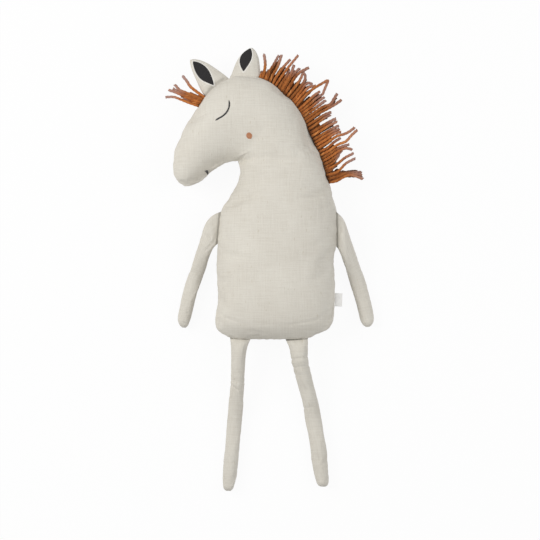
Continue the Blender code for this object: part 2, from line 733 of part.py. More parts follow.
def make_cheek(tree, throat, tan):
    """The cheek's embroidered dot, slightly domed."""
    place, square = on_head(tree, throat, CHEEK_SHARES, CLEARANCE)
    turn = square.to_track_quat("Z", "Y").to_matrix().to_4x4()
    bm = bmesh.new()
    rings = []
    for radius, rise in (
        (CHEEK_RADIUS, 0),
        (CHEEK_RADIUS, CHEEK_THICKNESS / 2),
        (CHEEK_RADIUS * CHEEK_TOP_SHARE, CHEEK_THICKNESS),
    ):
        raised = Matrix.Translation(UP * rise)
        circle = bmesh.ops.create_circle(bm, segments=BODY_SIDES, radius=radius, matrix=raised)
        rings.append(circle["verts"])
    for here, after in zip(rings, rings[1:]):
        for k in range(BODY_SIDES):
            bm.faces.new((here[k - 1], here[k], after[k], after[k - 1]))
    bm.faces.new(rings[0])
    bm.faces.new(rings[-1])
    bm.transform(Matrix.Translation(place) @ turn)
    add_piece("cheek_dot", bm, tan)


# Side label

def make_label(rows, neck, ribbon):
    """A blank ribbon folded in two, caught by its ends in the right side seam."""
    outline = rows[: neck + 1, [BX, BY]]
    low = TORSO_LENGTH * LABEL_ABOVE_HEM_SHARE - REST_ABOVE_HEM
    high = low + LABEL_HEIGHT
    ends = [np.array((np.interp(y, outline[:, 1], outline[:, 0]), y)) for y in (low, high)]
    corners = [point for point in outline if low < point[1] < high]
    half = LABEL_THICKNESS / 2
    start, end, square = seat(*ends, corners, np.array((1, 0)), half + CLEARANCE)
    profile = [(0, half)]
    fold = LABEL_WIDTH - half
    profile += [(fold + half * math.cos(angle), half * math.sin(angle)) for angle in half_circle(1)]
    inner = half - LABEL_RIBBON
    reach = math.sqrt(half**2 - inner**2)
    profile += [(0, -half), (-reach, -inner)]
    profile += [(fold + inner * math.cos(angle), inner * math.sin(angle)) for angle in half_circle(-1)]
    profile.append((-reach, inner))
    bm = bmesh.new()
    sides = []
    for place in (start, end):
        sides.append([bm.verts.new((*(place + square * out), TORSO_LEVEL + up)) for out, up in profile])
    for k in range(len(profile)):
        bm.faces.new((sides[0][k - 1], sides[0][k], sides[1][k], sides[1][k - 1]))
    bm.faces.new(sides[0])
    bm.faces.new(sides[1])
    pivot = pivot_at("side_label_seam", (*((start + end) / 2), TORSO_LEVEL))
    add_piece("side_label", bm, ribbon, pivot)


def half_circle(way):
    """Angles round a fold, from the top down for way 1 and from the bottom up for way -1."""
    return [way * math.pi * (0.5 - step / FOLD_STEPS) for step in range(FOLD_STEPS + 1)]


def main():
    clear_scene()
    linen = finish("linen", (0.68, 0.64, 0.56), 0.9)
    filling = finish("fibre_filling", (0.85, 0.85, 0.82), 1.0)
    dark = finish("dark_lining", (0.034, 0.031, 0.031), 0.9)
    rust = finish("rust_yarn", (0.30, 0.10, 0.03), 0.9)
    thread = finish("black_thread", (0.02, 0.02, 0.02), 0.6)
    tan = finish("tan_thread", (0.36, 0.20, 0.12), 0.7)
    ribbon = finish("white_ribbon", (0.80, 0.79, 0.75), 0.7)

    rows, neck = body_rows()
    throat = rows[neck][[AX, AY]]
    crest = Crest(rows, neck)
    head = make_body(rows, neck, linen, filling)
    make_arms(rows, neck, linen, filling)
    make_legs(rows, linen, filling)

    reach = crest.places[-1]
    mane_end = reach * MANE_CREST_SHARE
    right_ear = mane_end + EAR_GAP
    right_base = reach * RIGHT_EAR_CREST_SHARE
    left_ear = right_ear + right_base + EAR_GAP
    left_base = reach * LEFT_EAR_CREST_SHARE
    forelock = left_ear + left_base + EAR_GAP
    forelock_end = forelock + reach * FORELOCK_CREST_SHARE
    make_ear(
        "right_ear", crest, right_ear, right_base, RIGHT_EAR_HEIGHT, RIGHT_EAR_LEAN,
        RIGHT_LINING_SHARES, linen, dark,
    )
    make_ear(
        "left_ear", crest, left_ear, left_base, LEFT_EAR_HEIGHT, LEFT_EAR_LEAN,
        LEFT_LINING_SHARES, linen, dark,
    )
    make_fringe(
        "mane", crest, -MANE_BELOW_NECK, mane_end, MANE_SLICES, MANE_STRANDS, MANE_YARN,
        MANE_LENGTH_SHARES, MANE_SWEEP_DEGREES, rust,
    )
    make_fringe(
        "forelock", crest, forelock, forelock_end, 1, FORELOCK_STRANDS, FORELOCK_YARN,
        FORELOCK_LENGTH_SHARES, FORELOCK_SWEEP_DEGREES, rust,
    )
    make_eye(head, throat, thread)
    make_nostril(head, throat, thread)
    make_cheek(head, throat, tan)
    make_label(rows, neck, ribbon)


if __name__ == "__main__":
    main()
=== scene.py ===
import math
import random

import bmesh
import bpy
import numpy as np
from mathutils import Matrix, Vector, noise
from mathutils.bvhtree import BVHTree


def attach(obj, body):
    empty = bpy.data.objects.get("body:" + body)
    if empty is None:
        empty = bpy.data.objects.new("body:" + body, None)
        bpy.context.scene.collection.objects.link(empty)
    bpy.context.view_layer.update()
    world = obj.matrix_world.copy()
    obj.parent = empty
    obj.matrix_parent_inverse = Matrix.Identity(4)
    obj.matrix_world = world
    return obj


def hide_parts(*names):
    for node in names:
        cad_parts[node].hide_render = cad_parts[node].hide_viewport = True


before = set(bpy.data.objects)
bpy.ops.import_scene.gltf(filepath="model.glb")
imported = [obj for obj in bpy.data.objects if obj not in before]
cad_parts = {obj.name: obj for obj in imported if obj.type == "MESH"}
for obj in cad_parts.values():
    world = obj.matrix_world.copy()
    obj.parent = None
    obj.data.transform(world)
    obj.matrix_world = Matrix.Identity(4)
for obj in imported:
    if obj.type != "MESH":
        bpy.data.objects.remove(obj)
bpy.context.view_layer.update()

MM = 0.001
TURN = 2 * math.pi

# The photograph's frame: metres for each of its pixels, and the pixel over the model's origin
PIXEL = 1.6 * MM
ORIGIN_PX = (276.0, 262.0)
IMAGE_PX = 540
CAMERA_HEIGHT = 5.0
SENSOR = 36
SEAM_LEVEL = 42 * MM


def at(px, py, level=SEAM_LEVEL):
    """The place on the model, at a level, that shows at a pixel of the photograph."""
    middle = np.array((IMAGE_PX / 2 - ORIGIN_PX[0], ORIGIN_PX[1] - IMAGE_PX / 2)) * PIXEL
    off = np.array((px - IMAGE_PX / 2, IMAGE_PX / 2 - py)) * PIXEL
    return middle + off * (CAMERA_HEIGHT - level) / (CAMERA_HEIGHT - SEAM_LEVEL)


# Camera, which looks straight down
camera = bpy.data.objects.new("camera", bpy.data.cameras.new("camera"))
bpy.context.scene.collection.objects.link(camera)
camera.location = (*at(IMAGE_PX / 2, IMAGE_PX / 2), CAMERA_HEIGHT)
camera.data.sensor_width = SENSOR
camera.data.lens = SENSOR * (CAMERA_HEIGHT - SEAM_LEVEL) / (IMAGE_PX * PIXEL)
camera.data.clip_end = 20
bpy.context.scene.camera = camera


# Shader nodes

class Nodes:
    """A node tree under construction: makes its nodes and links them."""

    def __init__(self, tree):
        self.tree = tree

    def node(self, kind, inputs=(), **settings):
        made = self.tree.nodes.new(kind)
        for name, value in settings.items():
            setattr(made, name, value)
        for key, value in dict(inputs).items():
            if isinstance(value, bpy.types.NodeSocket):
                self.tree.links.new(value, made.inputs[key])
            else:
                made.inputs[key].default_value = value
        return made

    def math(self, operation, a, b=0.0):
        return self.node("ShaderNodeMath", {0: a, 1: b}, operation=operation).outputs[0]

    def total(self, *parts):
        """The sum of values, each times its share."""
        parts = [self.math("MULTIPLY", *part) for part in parts]
        made = parts[0]
        for part in parts[1:]:
            made = self.math("ADD", made, part)
        return made

    def seen(self):
        """1 where the camera sees a surface, straight or in metal or glass, and 0 where it lights."""
        ray = self.node("ShaderNodeLightPath").outputs
        mirrored = self.math("MAXIMUM", ray["Is Glossy Ray"], ray["Is Transmission Ray"])
        return self.math("MAXIMUM", ray["Is Camera Ray"], mirrored)


class Look(Nodes):
    """A material under construction."""

    def __init__(self, name, **sockets):
        self.material = bpy.data.materials.new(name)
        self.material.use_nodes = True
        super().__init__(self.material.node_tree)
        self.shader = self.tree.nodes["Principled BSDF"]
        for socket, value in sockets.items():
            self.shader.inputs[socket.replace("_", " ")].default_value = value

    def mix(self, share, a, b, kind="MIX"):
        made = self.node("ShaderNodeMix", {0: share, 6: a, 7: b}, data_type="RGBA", blend_type=kind)
        return made.outputs[2]

    def stored(self, name, output="Fac"):
        """A value that a piece's points carry."""
        return self.node("ShaderNodeAttribute", attribute_name=name).outputs[output]

    def cloth(self):
        """The flat-cloth place that a piece's points carry, in metres."""
        return self.stored("cloth", "Vector")

    def drawn(self, vector, stretch, detail=2.0, roughness=0.5):
        """Noise that is drawn out into fibres or clouds."""
        fine = self.node("ShaderNodeVectorMath", {0: vector, 1: stretch}, operation="MULTIPLY").outputs[0]
        return self.noise(fine, 1.0, detail, roughness)

    def noise(self, vector, scale, detail=2.0, roughness=0.5):
        inputs = {"Vector": vector, "Scale": scale, "Detail": detail, "Roughness": roughness}
        return self.node("ShaderNodeTexNoise", inputs).outputs["Fac"]

    def ramp(self, share, *stops):
        made = self.node("ShaderNodeValToRGB", {0: share})
        points = made.color_ramp.elements
        while len(points) < len(stops):
            points.new(0.5)
        for point, (place, value) in zip(points, stops):
            point.position = place
            point.color = (*value, 1) if hasattr(value, "__len__") else (value, value, value, 1)
        return made.outputs["Color"]

    def bump(self, height, strength, distance, under=None):
        inputs = {"Height": height, "Strength": strength, "Distance": distance}
        if under is not None:
            inputs["Normal"] = under
        return self.node("ShaderNodeBump", inputs).outputs[0]

    def finish(self, colour, normal):
        self.tree.links.new(colour, self.shader.inputs["Base Color"])
        self.tree.links.new(normal, self.shader.inputs["Normal"])
        return self.material


def weave_height(look, cloth, pitch):
    """The height of a plain weave: each thread goes over one and under the next."""
    wobble = look.math("MULTIPLY", look.math("SUBTRACT", look.noise(cloth, 140.0), 0.5), 1.6)
    split = look.node("ShaderNodeSeparateXYZ", {0: cloth}).outputs
    u, v = (look.math("ADD", look.math("DIVIDE", split[k], pitch), wobble) for k in range(2))

    def threads(across, along, way):
        ridge = look.math("ABSOLUTE", look.math("SINE", look.math("MULTIPLY", across, math.pi)))
        rise = look.math("ADD", look.math("ADD", along, look.math("FLOOR", across)), way)
        rise = look.math("COSINE", look.math("MULTIPLY", rise, math.pi))
        return look.math("MULTIPLY", ridge, look.math("ADD", look.math("MULTIPLY", rise, 0.45), 0.55))

    return look.math("MAXIMUM", threads(u, v, 0.5), threads(v, u, 1.5))


def linen_look(name, light, mid, deep):
    """Undyed linen: plain weave, slubs both ways, a clouded colour and flecks of straw, with painted shade
    and a painted highlight where the pieces mark them.
    """
    look = Look(name, Roughness=0.92, Sheen_Weight=0.12, Sheen_Roughness=0.5, Specular_IOR_Level=0.2)
    cloth = look.cloth()
    upright = look.drawn(cloth, (460, 26, 1), 3.0, 0.6)
    level = look.drawn(cloth, (30, 520, 1), 3.0, 0.6)
    clouds, grain = look.noise(cloth, 16.0, 3.0), look.noise(cloth, 900.0, 2.0, 0.7)
    tone = look.total((upright, 0.26), (level, 0.31), (clouds, 0.21), (grain, 0.22))
    colour = look.ramp(tone, (0.36, deep), (0.49, mid), (0.60, light))
    flecks = look.ramp(look.drawn(cloth, (300, 90, 1), 1.0), (0.69, 0.0), (0.77, 0.45))
    straw = tuple(c * f for c, f in zip(deep, STRAW_SHARES))
    # Flecks of straw, then painted shade along seams, folds and the mane's root, and a painted highlight on
    # the ears' rims
    for share, over in ((flecks, straw), (look.stored("painted_shade"), PAINTED_SHADE_COLOUR), (look.stored("pale"), PAINTED_HIGHLIGHT_COLOUR)):
        colour = look.mix(share, colour, (*over, 1))
    slubs = look.math("ADD", *(look.ramp(lines, (0.5, 0.0), (0.75, 1.0)) for lines in (upright, level)))
    normal = look.bump(weave_height(look, cloth, LINEN_PITCH), 0.6, 0.22 * MM)
    return look.finish(colour, look.bump(slubs, 0.6, 0.35 * MM, normal))


def felt_look(name, dark, light):
    look = Look(name, Roughness=0.95, Sheen_Weight=0.2, Sheen_Roughness=0.6, Specular_IOR_Level=0.2)
    cloth = look.cloth()
    fibres = look.drawn(cloth, (700, 1100, 1), 4.0, 0.7)
    weave = weave_height(look, cloth, FELT_PITCH)
    normal = look.bump(weave, 0.3, 0.15 * MM, look.bump(fibres, 0.7, 0.3 * MM))
    return look.finish(look.ramp(fibres, (0.3, dark), (0.7, light)), normal)


def yarn_look(name, dark, mid, light):
    """Dyed wool: fine fibres along each ply, colour that varies from strand to strand, darkened by the
    painted shade that each strand carries.
    """
    look = Look(name, Roughness=0.85, Sheen_Weight=0.25, Sheen_Roughness=0.4, Specular_IOR_Level=0.2,
                Sheen_Tint=(0.95, 0.60, 0.38, 1))
    cloth = look.cloth()
    fibres = look.drawn(cloth, (130, 420, 1), 3.0, 0.7)
    strand = look.drawn(cloth, (8.0, 22, 5.3), 1.0)
    colour = look.ramp(look.total((fibres, 0.5), (strand, 0.5)), (0.34, dark), (0.5, mid), (0.66, light))
    # Painted shade: the tone each strand carries darkens the lower yarns, their roots and the tape
    shade = look.ramp(look.stored("tone"), (0.0, 0.0), (1.0, 1.0))
    colour = look.mix(look.stored("tip"), look.mix(1.0, colour, shade, "MULTIPLY"), (*BLEACHED, 1))
    return look.finish(colour, look.bump(fibres, 0.6, 0.3 * MM))


def thread_look(name, dark, light, roughness=0.45):
    look = Look(name, Roughness=roughness, Sheen_Weight=0.1, Specular_IOR_Level=0.5)
    twist = look.drawn(look.cloth(), (3000, 700, 1))
    return look.finish(look.ramp(twist, (0.35, dark), (0.65, light)), look.bump(twist, 0.5, 0.08 * MM))


def ribbon_look(name, colour, shade):
    look = Look(name, Roughness=0.7, Sheen_Weight=0.15, Specular_IOR_Level=0.3)
    cloth = look.cloth()
    tone = look.ramp(look.drawn(cloth, (1500, 180, 1)), (0.35, shade), (0.6, colour))
    return look.finish(tone, look.bump(weave_height(look, cloth, RIBBON_PITCH), 0.6, 0.1 * MM))


LINEN_PITCH, FELT_PITCH, RIBBON_PITCH = 0.85 * MM, 0.9 * MM, 0.5 * MM
STRAW_SHARES = (0.86, 0.82, 0.74)
# Colours of the painted shade along seams, folds and the mane's root, and of the painted highlight on the
# ears' rims
PAINTED_SHADE_COLOUR = (0.10, 0.09, 0.07)
PAINTED_HIGHLIGHT_COLOUR = (0.90, 0.885, 0.85)
BLEACHED = (0.41, 0.27, 0.24)
LINEN_TONES = (0.75, 0.72, 0.645), (0.70, 0.665, 0.59), (0.62, 0.582, 0.505)
# Copies of the one linen: a darker copy, painted shade, for the limbs and ears, and a lighter copy, painted
# light, for the right arm where the torso shades it
LINEN, SHADED_LINEN, LIT_LINEN = (
    linen_look(name, *(tuple(c * light for c in tone) for tone in LINEN_TONES))
    for name, light in (("linen", 1.0), ("linen_painted_shade", 0.965), ("linen_painted_light", 1.02))
)
FELT = felt_look("dark_lining", (0.010, 0.0095, 0.010), (0.030, 0.028, 0.029))
YARN = yarn_look("rust_yarn", (0.28, 0.078, 0.018), (0.50, 0.162, 0.038), (0.68, 0.28, 0.082))
BLACK = thread_look("black_thread", (0.010, 0.010, 0.011), (0.030, 0.028, 0.028))
TAN = thread_look("tan_thread", (0.40, 0.165, 0.075), (0.56, 0.26, 0.13), 0.55)
RIBBON = ribbon_look("white_ribbon", (0.93, 0.92, 0.89), (0.86, 0.85, 0.82))


# Lines

def distances(line):
    """How far along a line each of its points lies."""
    return np.concatenate([[0], np.cumsum(np.linalg.norm(np.diff(line, axis=0), axis=1))])


def directions(line):
    along = np.gradient(line, axis=0)
    return along / np.linalg.norm(along, axis=1)[:, None]


def points_at(line, places, spots):
    """The points of a line, whose own points lie at places, at some spots along it."""
    return np.stack([np.interp(spots, places, values) for values in line.T], axis=-1)


def smooth_rows(rows, steps=8):
    """Rows of values along a smooth curve through some of them."""
    padded = np.vstack([rows[:1], rows, rows[-1:]])
    made = []
    for i in range(len(rows) - 1):
        before, here, after, beyond = padded[i : i + 4]
        for step in range(steps):
            t = step / steps
            bend = (2 * before - 5 * here + 4 * after - beyond) * t**2
            twist = (3 * here - before - 3 * after + beyond) * t**3
            made.append((2 * here + (after - before) * t + bend + twist) / 2)
    made.append(rows[-1])
    return np.array(made)


def in_pixels(tenths, wide=2):
    """A table's rows, from its numbers in tenths of a pixel."""
    return np.reshape(tenths, (-1, wide)) / 10


def places_on(tenths, level=SEAM_LEVEL):
    """Places on the model, from their pixels in tenths."""
    return np.array([at(*p, level) for p in in_pixels(tenths)])


def chain(tenths, count, level=SEAM_LEVEL):
    """Evenly spaced places on a smooth line through given ones."""
    fine = smooth_rows(places_on(tenths, level))
    places = distances(fine)
    return points_at(fine, places, np.linspace(0, places[-1], count))


def ease(share):
    share = np.clip(share, 0, 1)
    return share * share * (3 - 2 * share)


def bell(far, width):
    """1 on a line, and less away from it."""
    return np.exp(-((far / width) ** 2))


def line_distance(co, line):
    """Each point's distance from a line, and its place along it."""
    places = distances(line)
    best = np.full(len(co), 1e9)
    place = np.zeros(len(co))
    for i in range(len(line) - 1):
        a, d = line[i], line[i + 1] - line[i]
        t = np.clip(((co - a) @ d) / (d @ d), 0, 1)
        far = np.linalg.norm(co - (a + np.outer(t, d)), axis=1)
        closer = far < best
        best[closer] = far[closer]
        place[closer] = (places[i] + t * np.linalg.norm(d))[closer]
    return best, place


def plan_distance(co, line):
    """The same, as seen from above."""
    return line_distance(*(np.array(points)[:, :2] for points in (co, line)))


# Meshes

def face_out(mesh):
    bm = bmesh.new()
    bm.from_mesh(mesh)
    bmesh.ops.recalc_face_normals(bm, faces=bm.faces)
    bm.to_mesh(mesh)
    bm.free()


def mesh_piece(name, verts, faces, material, cloth=None):
    mesh = bpy.data.meshes.new(name)
    mesh.from_pydata([tuple(v) for v in verts], [], [tuple(f) for f in faces])
    mesh.validate()
    if cloth is not None:
        place = mesh.attributes.new("cloth", "FLOAT_VECTOR", "POINT")
        place.data.foreach_set("vector", np.asarray(cloth, np.float32).ravel())
        face_out(mesh)
    mesh.materials.append(material)
    mesh.shade_smooth()
    made = bpy.data.objects.new(name, mesh)
    bpy.context.scene.collection.objects.link(made)
    return made


def mark(piece, name, values):
    """Stores a number for each of a piece's points, for its material to read."""
    made = piece.data.attributes.new(name, "FLOAT", "POINT")
    made.data.foreach_set("value", np.asarray(values, np.float32))


def subdivide(piece):
    grown = piece.modifiers.new("fine", "SUBSURF")
    grown.levels = grown.render_levels = 1


def refine(piece):
    """Makes a piece's own mesh twice as fine."""
    subdivide(piece)
    shape = piece.evaluated_get(bpy.context.evaluated_depsgraph_get())
    coarse, piece.data = piece.data, bpy.data.meshes.new_from_object(shape)
    piece.modifiers.remove(piece.modifiers[0])
    bpy.data.meshes.remove(coarse)


def vectors_of(data, field):
    co = np.zeros(len(data) * 3, np.float32)
    data.foreach_get(field, co)
    return co.reshape(-1, 3).astype(float)


def points_of(mesh):
    return vectors_of(mesh.vertices, "co")


def normals_of(mesh):
    return vectors_of(mesh.vertex_normals, "vector")


def set_points(mesh, co):
    mesh.vertices.foreach_set("co", np.asarray(co, np.float32).ravel())
    mesh.update()


def tree_of(piece, co):
    """A piece's surface, for rays to hit."""
    return BVHTree.FromPolygons([Vector(p) for p in co], [tuple(f.vertices) for f in piece.data.polygons])


def hit_from_above(tree, x, y):
    return tree.ray_cast(Vector((x, y, 0.3)), Vector((0, 0, -1)))[:2]


# A cross-section: the plan of its two edges, their level, and its half depths
AX, AY, BX, BY, LEVEL, FRONT, BACK = range(7)
FULLNESS = 0.9


def middles(rows):
    return (rows[..., :2] + rows[..., 2:4]) / 2


def loft(rows, sides):
    """Rings of points over cross-sections, and each point's place on the flat cloth."""
    turn = TURN * np.arange(sides) / sides
    across = np.cos(turn)
    rise = np.sign(np.sin(turn)) * np.abs(np.sin(turn)) ** FULLNESS
    fine = np.linspace(0, math.pi, 181)
    points, cloth = [], []
    for row in rows:
        a, b = row[[AX, AY]], row[[BX, BY]]
        middle, half = (a + b) / 2, (b - a) / 2
        width = np.linalg.norm(half)
        plan = middle + np.outer(across, half)
        depth = np.where(rise > 0, row[FRONT], row[BACK])
        points.append(np.column_stack([plan, row[LEVEL] + rise * depth]))
        flat = []
        for reach in row[[FRONT, BACK]]:
            x, z = width * np.cos(fine), reach * np.sin(fine) ** FULLNESS
            arc = np.concatenate([[0], np.cumsum(np.hypot(np.diff(x), np.diff(z)))])
            flat.append(arc[-1] / 2 - arc)
        s = np.where(rise >= 0, np.interp(np.mod(turn, math.pi), fine, flat[0]), 0)
        s = np.where(turn > math.pi, np.interp(TURN - turn, fine, flat[1]), s)
        s = np.where(np.isclose(turn, math.pi), -flat[0][0], s)
        cloth.append(np.column_stack([middle + np.outer(s, half / max(width, 1e-6)), np.zeros(sides)]))
    return np.array(points), np.array(cloth)


def grid_faces(high, wide, base=0, closed=True):
    """The quads between rows of points; a closed row is a ring."""
    corners = ((0, 0), (0, 1), (1, 1), (1, 0))
    return [
        tuple(base + (i + up) * wide + (k + on) % wide for up, on in corners)
        for i in range(high - 1) for k in range(wide if closed else wide - 1)
    ]


def rod_faces(count, sides, base):
    """The quads between rings of points, and a face over each end."""
    last = base + (count - 1) * sides
    ends = [tuple(range(base, base + sides)), tuple(range(last + sides - 1, last - 1, -1))]
    return grid_faces(count, sides, base) + ends


def pinch_faces(ring, sides):
    """Closes a flat end ring across, from its front half to its back half."""
    base = ring * sides
    corners = ((k, k + 1, sides - k - 1, (sides - k) % sides) for k in range(sides // 2))
    return [tuple(dict.fromkeys(base + j for j in four)) for four in corners]


def sheet_faces(high, wide):
    """The faces of a thin sheet: a grid, the same grid behind it, and the rim between them."""
    behind = high * wide
    front = grid_faces(high, wide, closed=False)
    back = [tuple(behind + k for k in quad[::-1]) for quad in front]
    rim = [*range(wide), *(i * wide + wide - 1 for i in range(1, high))]
    rim += [(high - 1) * wide + j for j in range(wide - 2, -1, -1)]
    rim += [i * wide for i in range(high - 2, 0, -1)]
    return front + back + [(b, a, behind + a, behind + b) for a, b in zip(rim, rim[1:] + rim[:1])]


def sewn_tube(name, rings, material, cloth):
    """A piece over rings of points, sewn flat across at both ends."""
    count, sides = rings.shape[:2]
    faces = grid_faces(count, sides) + pinch_faces(0, sides) + pinch_faces(count - 1, sides)
    return mesh_piece(name, rings.reshape(-1, 3), faces, material, cloth.reshape(-1, 3))


def outline_of(rows):
    return np.vstack([rows[::-1][:, [AX, AY, LEVEL]], rows[:, [BX, BY, LEVEL]]])


def puckers(far, place, pitch, reach, start, seed):
    """An uneven wave along a seam, in the cloth beside it."""
    draw = random.Random(seed)
    wave = np.zeros(len(place))
    for k in range(5):
        length = pitch * (0.6 + 0.35 * k)
        wave += np.sin(TURN * place / length + draw.uniform(0, TURN))
    return wave / 2.2 * np.exp(-far / reach) * (1 - np.exp(-far / start))


def facing(normals, least):
    """1 where the cloth faces the front or the back, and less towards its seam."""
    return least + (1 - least) * np.clip(np.abs(normals[:, 2]) * 1.5, 0, 1)


def noise_at(co, scale, seed):
    shift = Vector((seed * 7.1, seed * 3.7, seed * 5.3))
    return np.array([noise.noise(Vector(p) * scale + shift) for p in co])


def crease(co, ends, depth, width, fade, level=SEAM_LEVEL):
    """Presses a line into the cloth, shallower towards its second end."""
    line = places_on(ends, level)
    far, place = plan_distance(co, line)
    return -depth * bell(far, width) * (1 - fade * place / math.dist(*line))


CLOTH = {
    "quality": 6, "mass": 0.25, "tension_stiffness": 18, "compression_stiffness": 12, "shear_stiffness": 8,
    "bending_stiffness": 0.35, "use_pressure": True, "vertex_group_mass": "sewn",
}
NEAR_WEIGHT = 0.25
FRAMES = 20
PRESSURE = 3.0


def simulate(piece, far, sewn, near, grow, cap):
    """Inflates a sewn cover on its seams, so that the cloth buckles between them."""
    rest = points_of(piece.data)
    group = piece.vertex_groups.new(name="sewn")
    for weight, held in ((1.0, far < sewn), (NEAR_WEIGHT, (far >= sewn) & (far < near))):
        group.add(np.flatnonzero(held).tolist(), weight, "REPLACE")
    cloth = piece.modifiers.new("cloth", "CLOTH")
    for name, value in CLOTH.items():
        setattr(cloth.settings, name, value)
    cloth.settings.uniform_pressure_force = PRESSURE
    cloth.settings.shrink_min = -grow
    cloth.settings.effector_weights.gravity = 0
    cloth.collision_settings.use_collision = False
    cloth.point_cache.frame_start, cloth.point_cache.frame_end = 1, FRAMES
    scene = bpy.context.scene
    for number in range(1, FRAMES + 1):
        scene.frame_set(number)
    shape = piece.evaluated_get(bpy.context.evaluated_depsgraph_get()).to_mesh()
    moved = points_of(shape) - rest
    piece.modifiers.remove(cloth)
    piece.vertex_groups.remove(group)
    scene.frame_set(1)
    reach = np.linalg.norm(moved, axis=1)
    share = cap * np.tanh(reach / cap) / np.maximum(reach, 1e-9)
    set_points(piece.data, rest + moved * share[:, None])


def inflated(piece, outline, ends, *measures):
    """Inflates a cover and refines it; its points, normals, and distances from and along its seam."""
    far, _ = line_distance(points_of(piece.data), outline)
    far[:ends] = 0
    simulate(piece, far, *measures)
    refine(piece)
    co = points_of(piece.data)
    return co, normals_of(piece.data), *line_distance(co, outline)


# Body: shares of its size for each cross-section's two edges and depth, and of the way to the head's level

TORSO = (0.191, 0.284, 0.088)
HEAD = (0.233, 0.174, 0.082)
REST_SHARE = 0.437
REST_FLAT = 0.5 * MM
TORSO_LEVEL = TORSO[2] / 2 - REST_FLAT
HEAD_LEVEL = HEAD[2] / 2 - REST_FLAT
BODY_STEPS = 8
BODY_SIDES = 72
END_HALF = 0.6 * MM
TORSO_SHARES = (
    (-0.326, 0.000, 0.201, 0.000, 0.04, 0.0),
    (-0.402, 0.014, 0.280, 0.014, 0.33, 0.0),
    (-0.464, 0.042, 0.377, 0.042, 0.54, 0.0),
    (-0.503, 0.095, 0.462, 0.095, 0.76, 0.0),
    (-0.505, 0.175, 0.488, 0.175, 0.92, 0.0),
    (-0.496, 0.290, 0.494, 0.290, 1.00, 0.0),
    (-0.493, 0.437, 0.481, 0.437, 1.00, 0.0),
    (-0.493, 0.544, 0.508, 0.540, 0.99, 0.0),
    (-0.464, 0.718, 0.509, 0.715, 0.97, 0.0),
    (-0.385, 0.808, 0.473, 0.820, 0.95, 0.2),
    (-0.318, 0.899, 0.431, 0.910, 0.93, 0.5),
    (-0.318, 0.997, 0.347, 1.076, 0.92, 1.0),
)
HEAD_SHARES = (
    (-0.024, 0.011, 0.364, 0.566, 0.99),
    (-0.062, 0.005, 0.110, 0.787, 1.00),
    (-0.113, -0.020, -0.124, 0.718, 0.98),
    (-0.185, -0.087, -0.292, 0.478, 0.91),
    (-0.261, -0.175, -0.408, 0.198, 0.80),
    (-0.316, -0.208, -0.447, 0.010, 0.65),
    (-0.346, -0.217, -0.441, -0.100, 0.45),
    (-0.365, -0.219, -0.408, -0.184, 0.15),
)


def body_rows():
    rows = []
    for left, left_up, right, right_up, depth, lean in TORSO_SHARES:
        half = TORSO[2] / 2 * depth
        level = TORSO_LEVEL + (HEAD_LEVEL - TORSO_LEVEL) * lean
        a = (TORSO[0] * left, TORSO[1] * (left_up - REST_SHARE))
        b = (TORSO[0] * right, TORSO[1] * (right_up - REST_SHARE))
        rows.append((*a, *b, level, half, half))
    throat = a
    for jaw, jaw_up, crest, crest_up, depth in HEAD_SHARES:
        half = HEAD[2] / 2 * depth
        a = (throat[0] + HEAD[0] * jaw, throat[1] + HEAD[1] * jaw_up)
        b = (throat[0] + HEAD[0] * crest, throat[1] + HEAD[1] * crest_up)
        rows.append((*a, *b, HEAD_LEVEL, half, half))
    return smooth_rows(np.array(rows), BODY_STEPS)


ROWS = body_rows()
NECK = BODY_STEPS * (len(TORSO_SHARES) - 1)


class Crest:
    """The body's edge from the hem up the nape and over the crown, by its distance from the neck."""

    def __init__(self):
        self.points = ROWS[:, [BX, BY, LEVEL]]
        self.places = distances(self.points[:, :2])
        self.places -= self.places[NECK]
        self.reach = self.places[-1]

    def at(self, place):
        return points_at(self.points, self.places, place)

    def outward(self, place):
        along = (self.at(place + 5 * MM) - self.at(place - 5 * MM))[:2]
        return np.array((along[1], -along[0])) / np.linalg.norm(along)

    def nearest(self, point):
        return plan_distance([point], self.points)[1][0] + self.places[0]


CREST = Crest()
MANE_LOW = -56 * MM
MANE_END = CREST.reach * 0.371
FORELOCK = CREST.reach * (0.371 + 0.117 + 0.113) + 4.5 * MM
FORELOCK_END = FORELOCK + CREST.reach * 0.048

# Folds: two ends in tenths of a pixel, depth and width in millimetres, and how much shallower they end
FRONT_FOLDS = (
    (2365, 1620, 2590, 1560, 4.8, 4.6, 0.85), (2380, 1610, 2455, 1545, 1.9, 1.9, 0.5),
    (2375, 1623, 2520, 1580, 1.4, 1.9, 0.6), (2415, 1546, 2490, 1510, -1.1, 1.7, 0.3),
    (3225, 1990, 3255, 2520, 0.9, 2.6, 0.4), (3160, 2050, 3180, 2400, 0.5, 2.6, 0.5),
    (2175, 3120, 2280, 3190, 0.9, 2.2, 0.0), (2280, 3190, 2410, 3232, 0.6, 2.4, 0.0),
    (2410, 3232, 2900, 3250, 0.4, 3.0, 0.0), (2900, 3250, 3170, 3200, 0.7, 2.2, 0.0),
    (3170, 3200, 3350, 3070, 1.0, 2.2, 0.0),
)
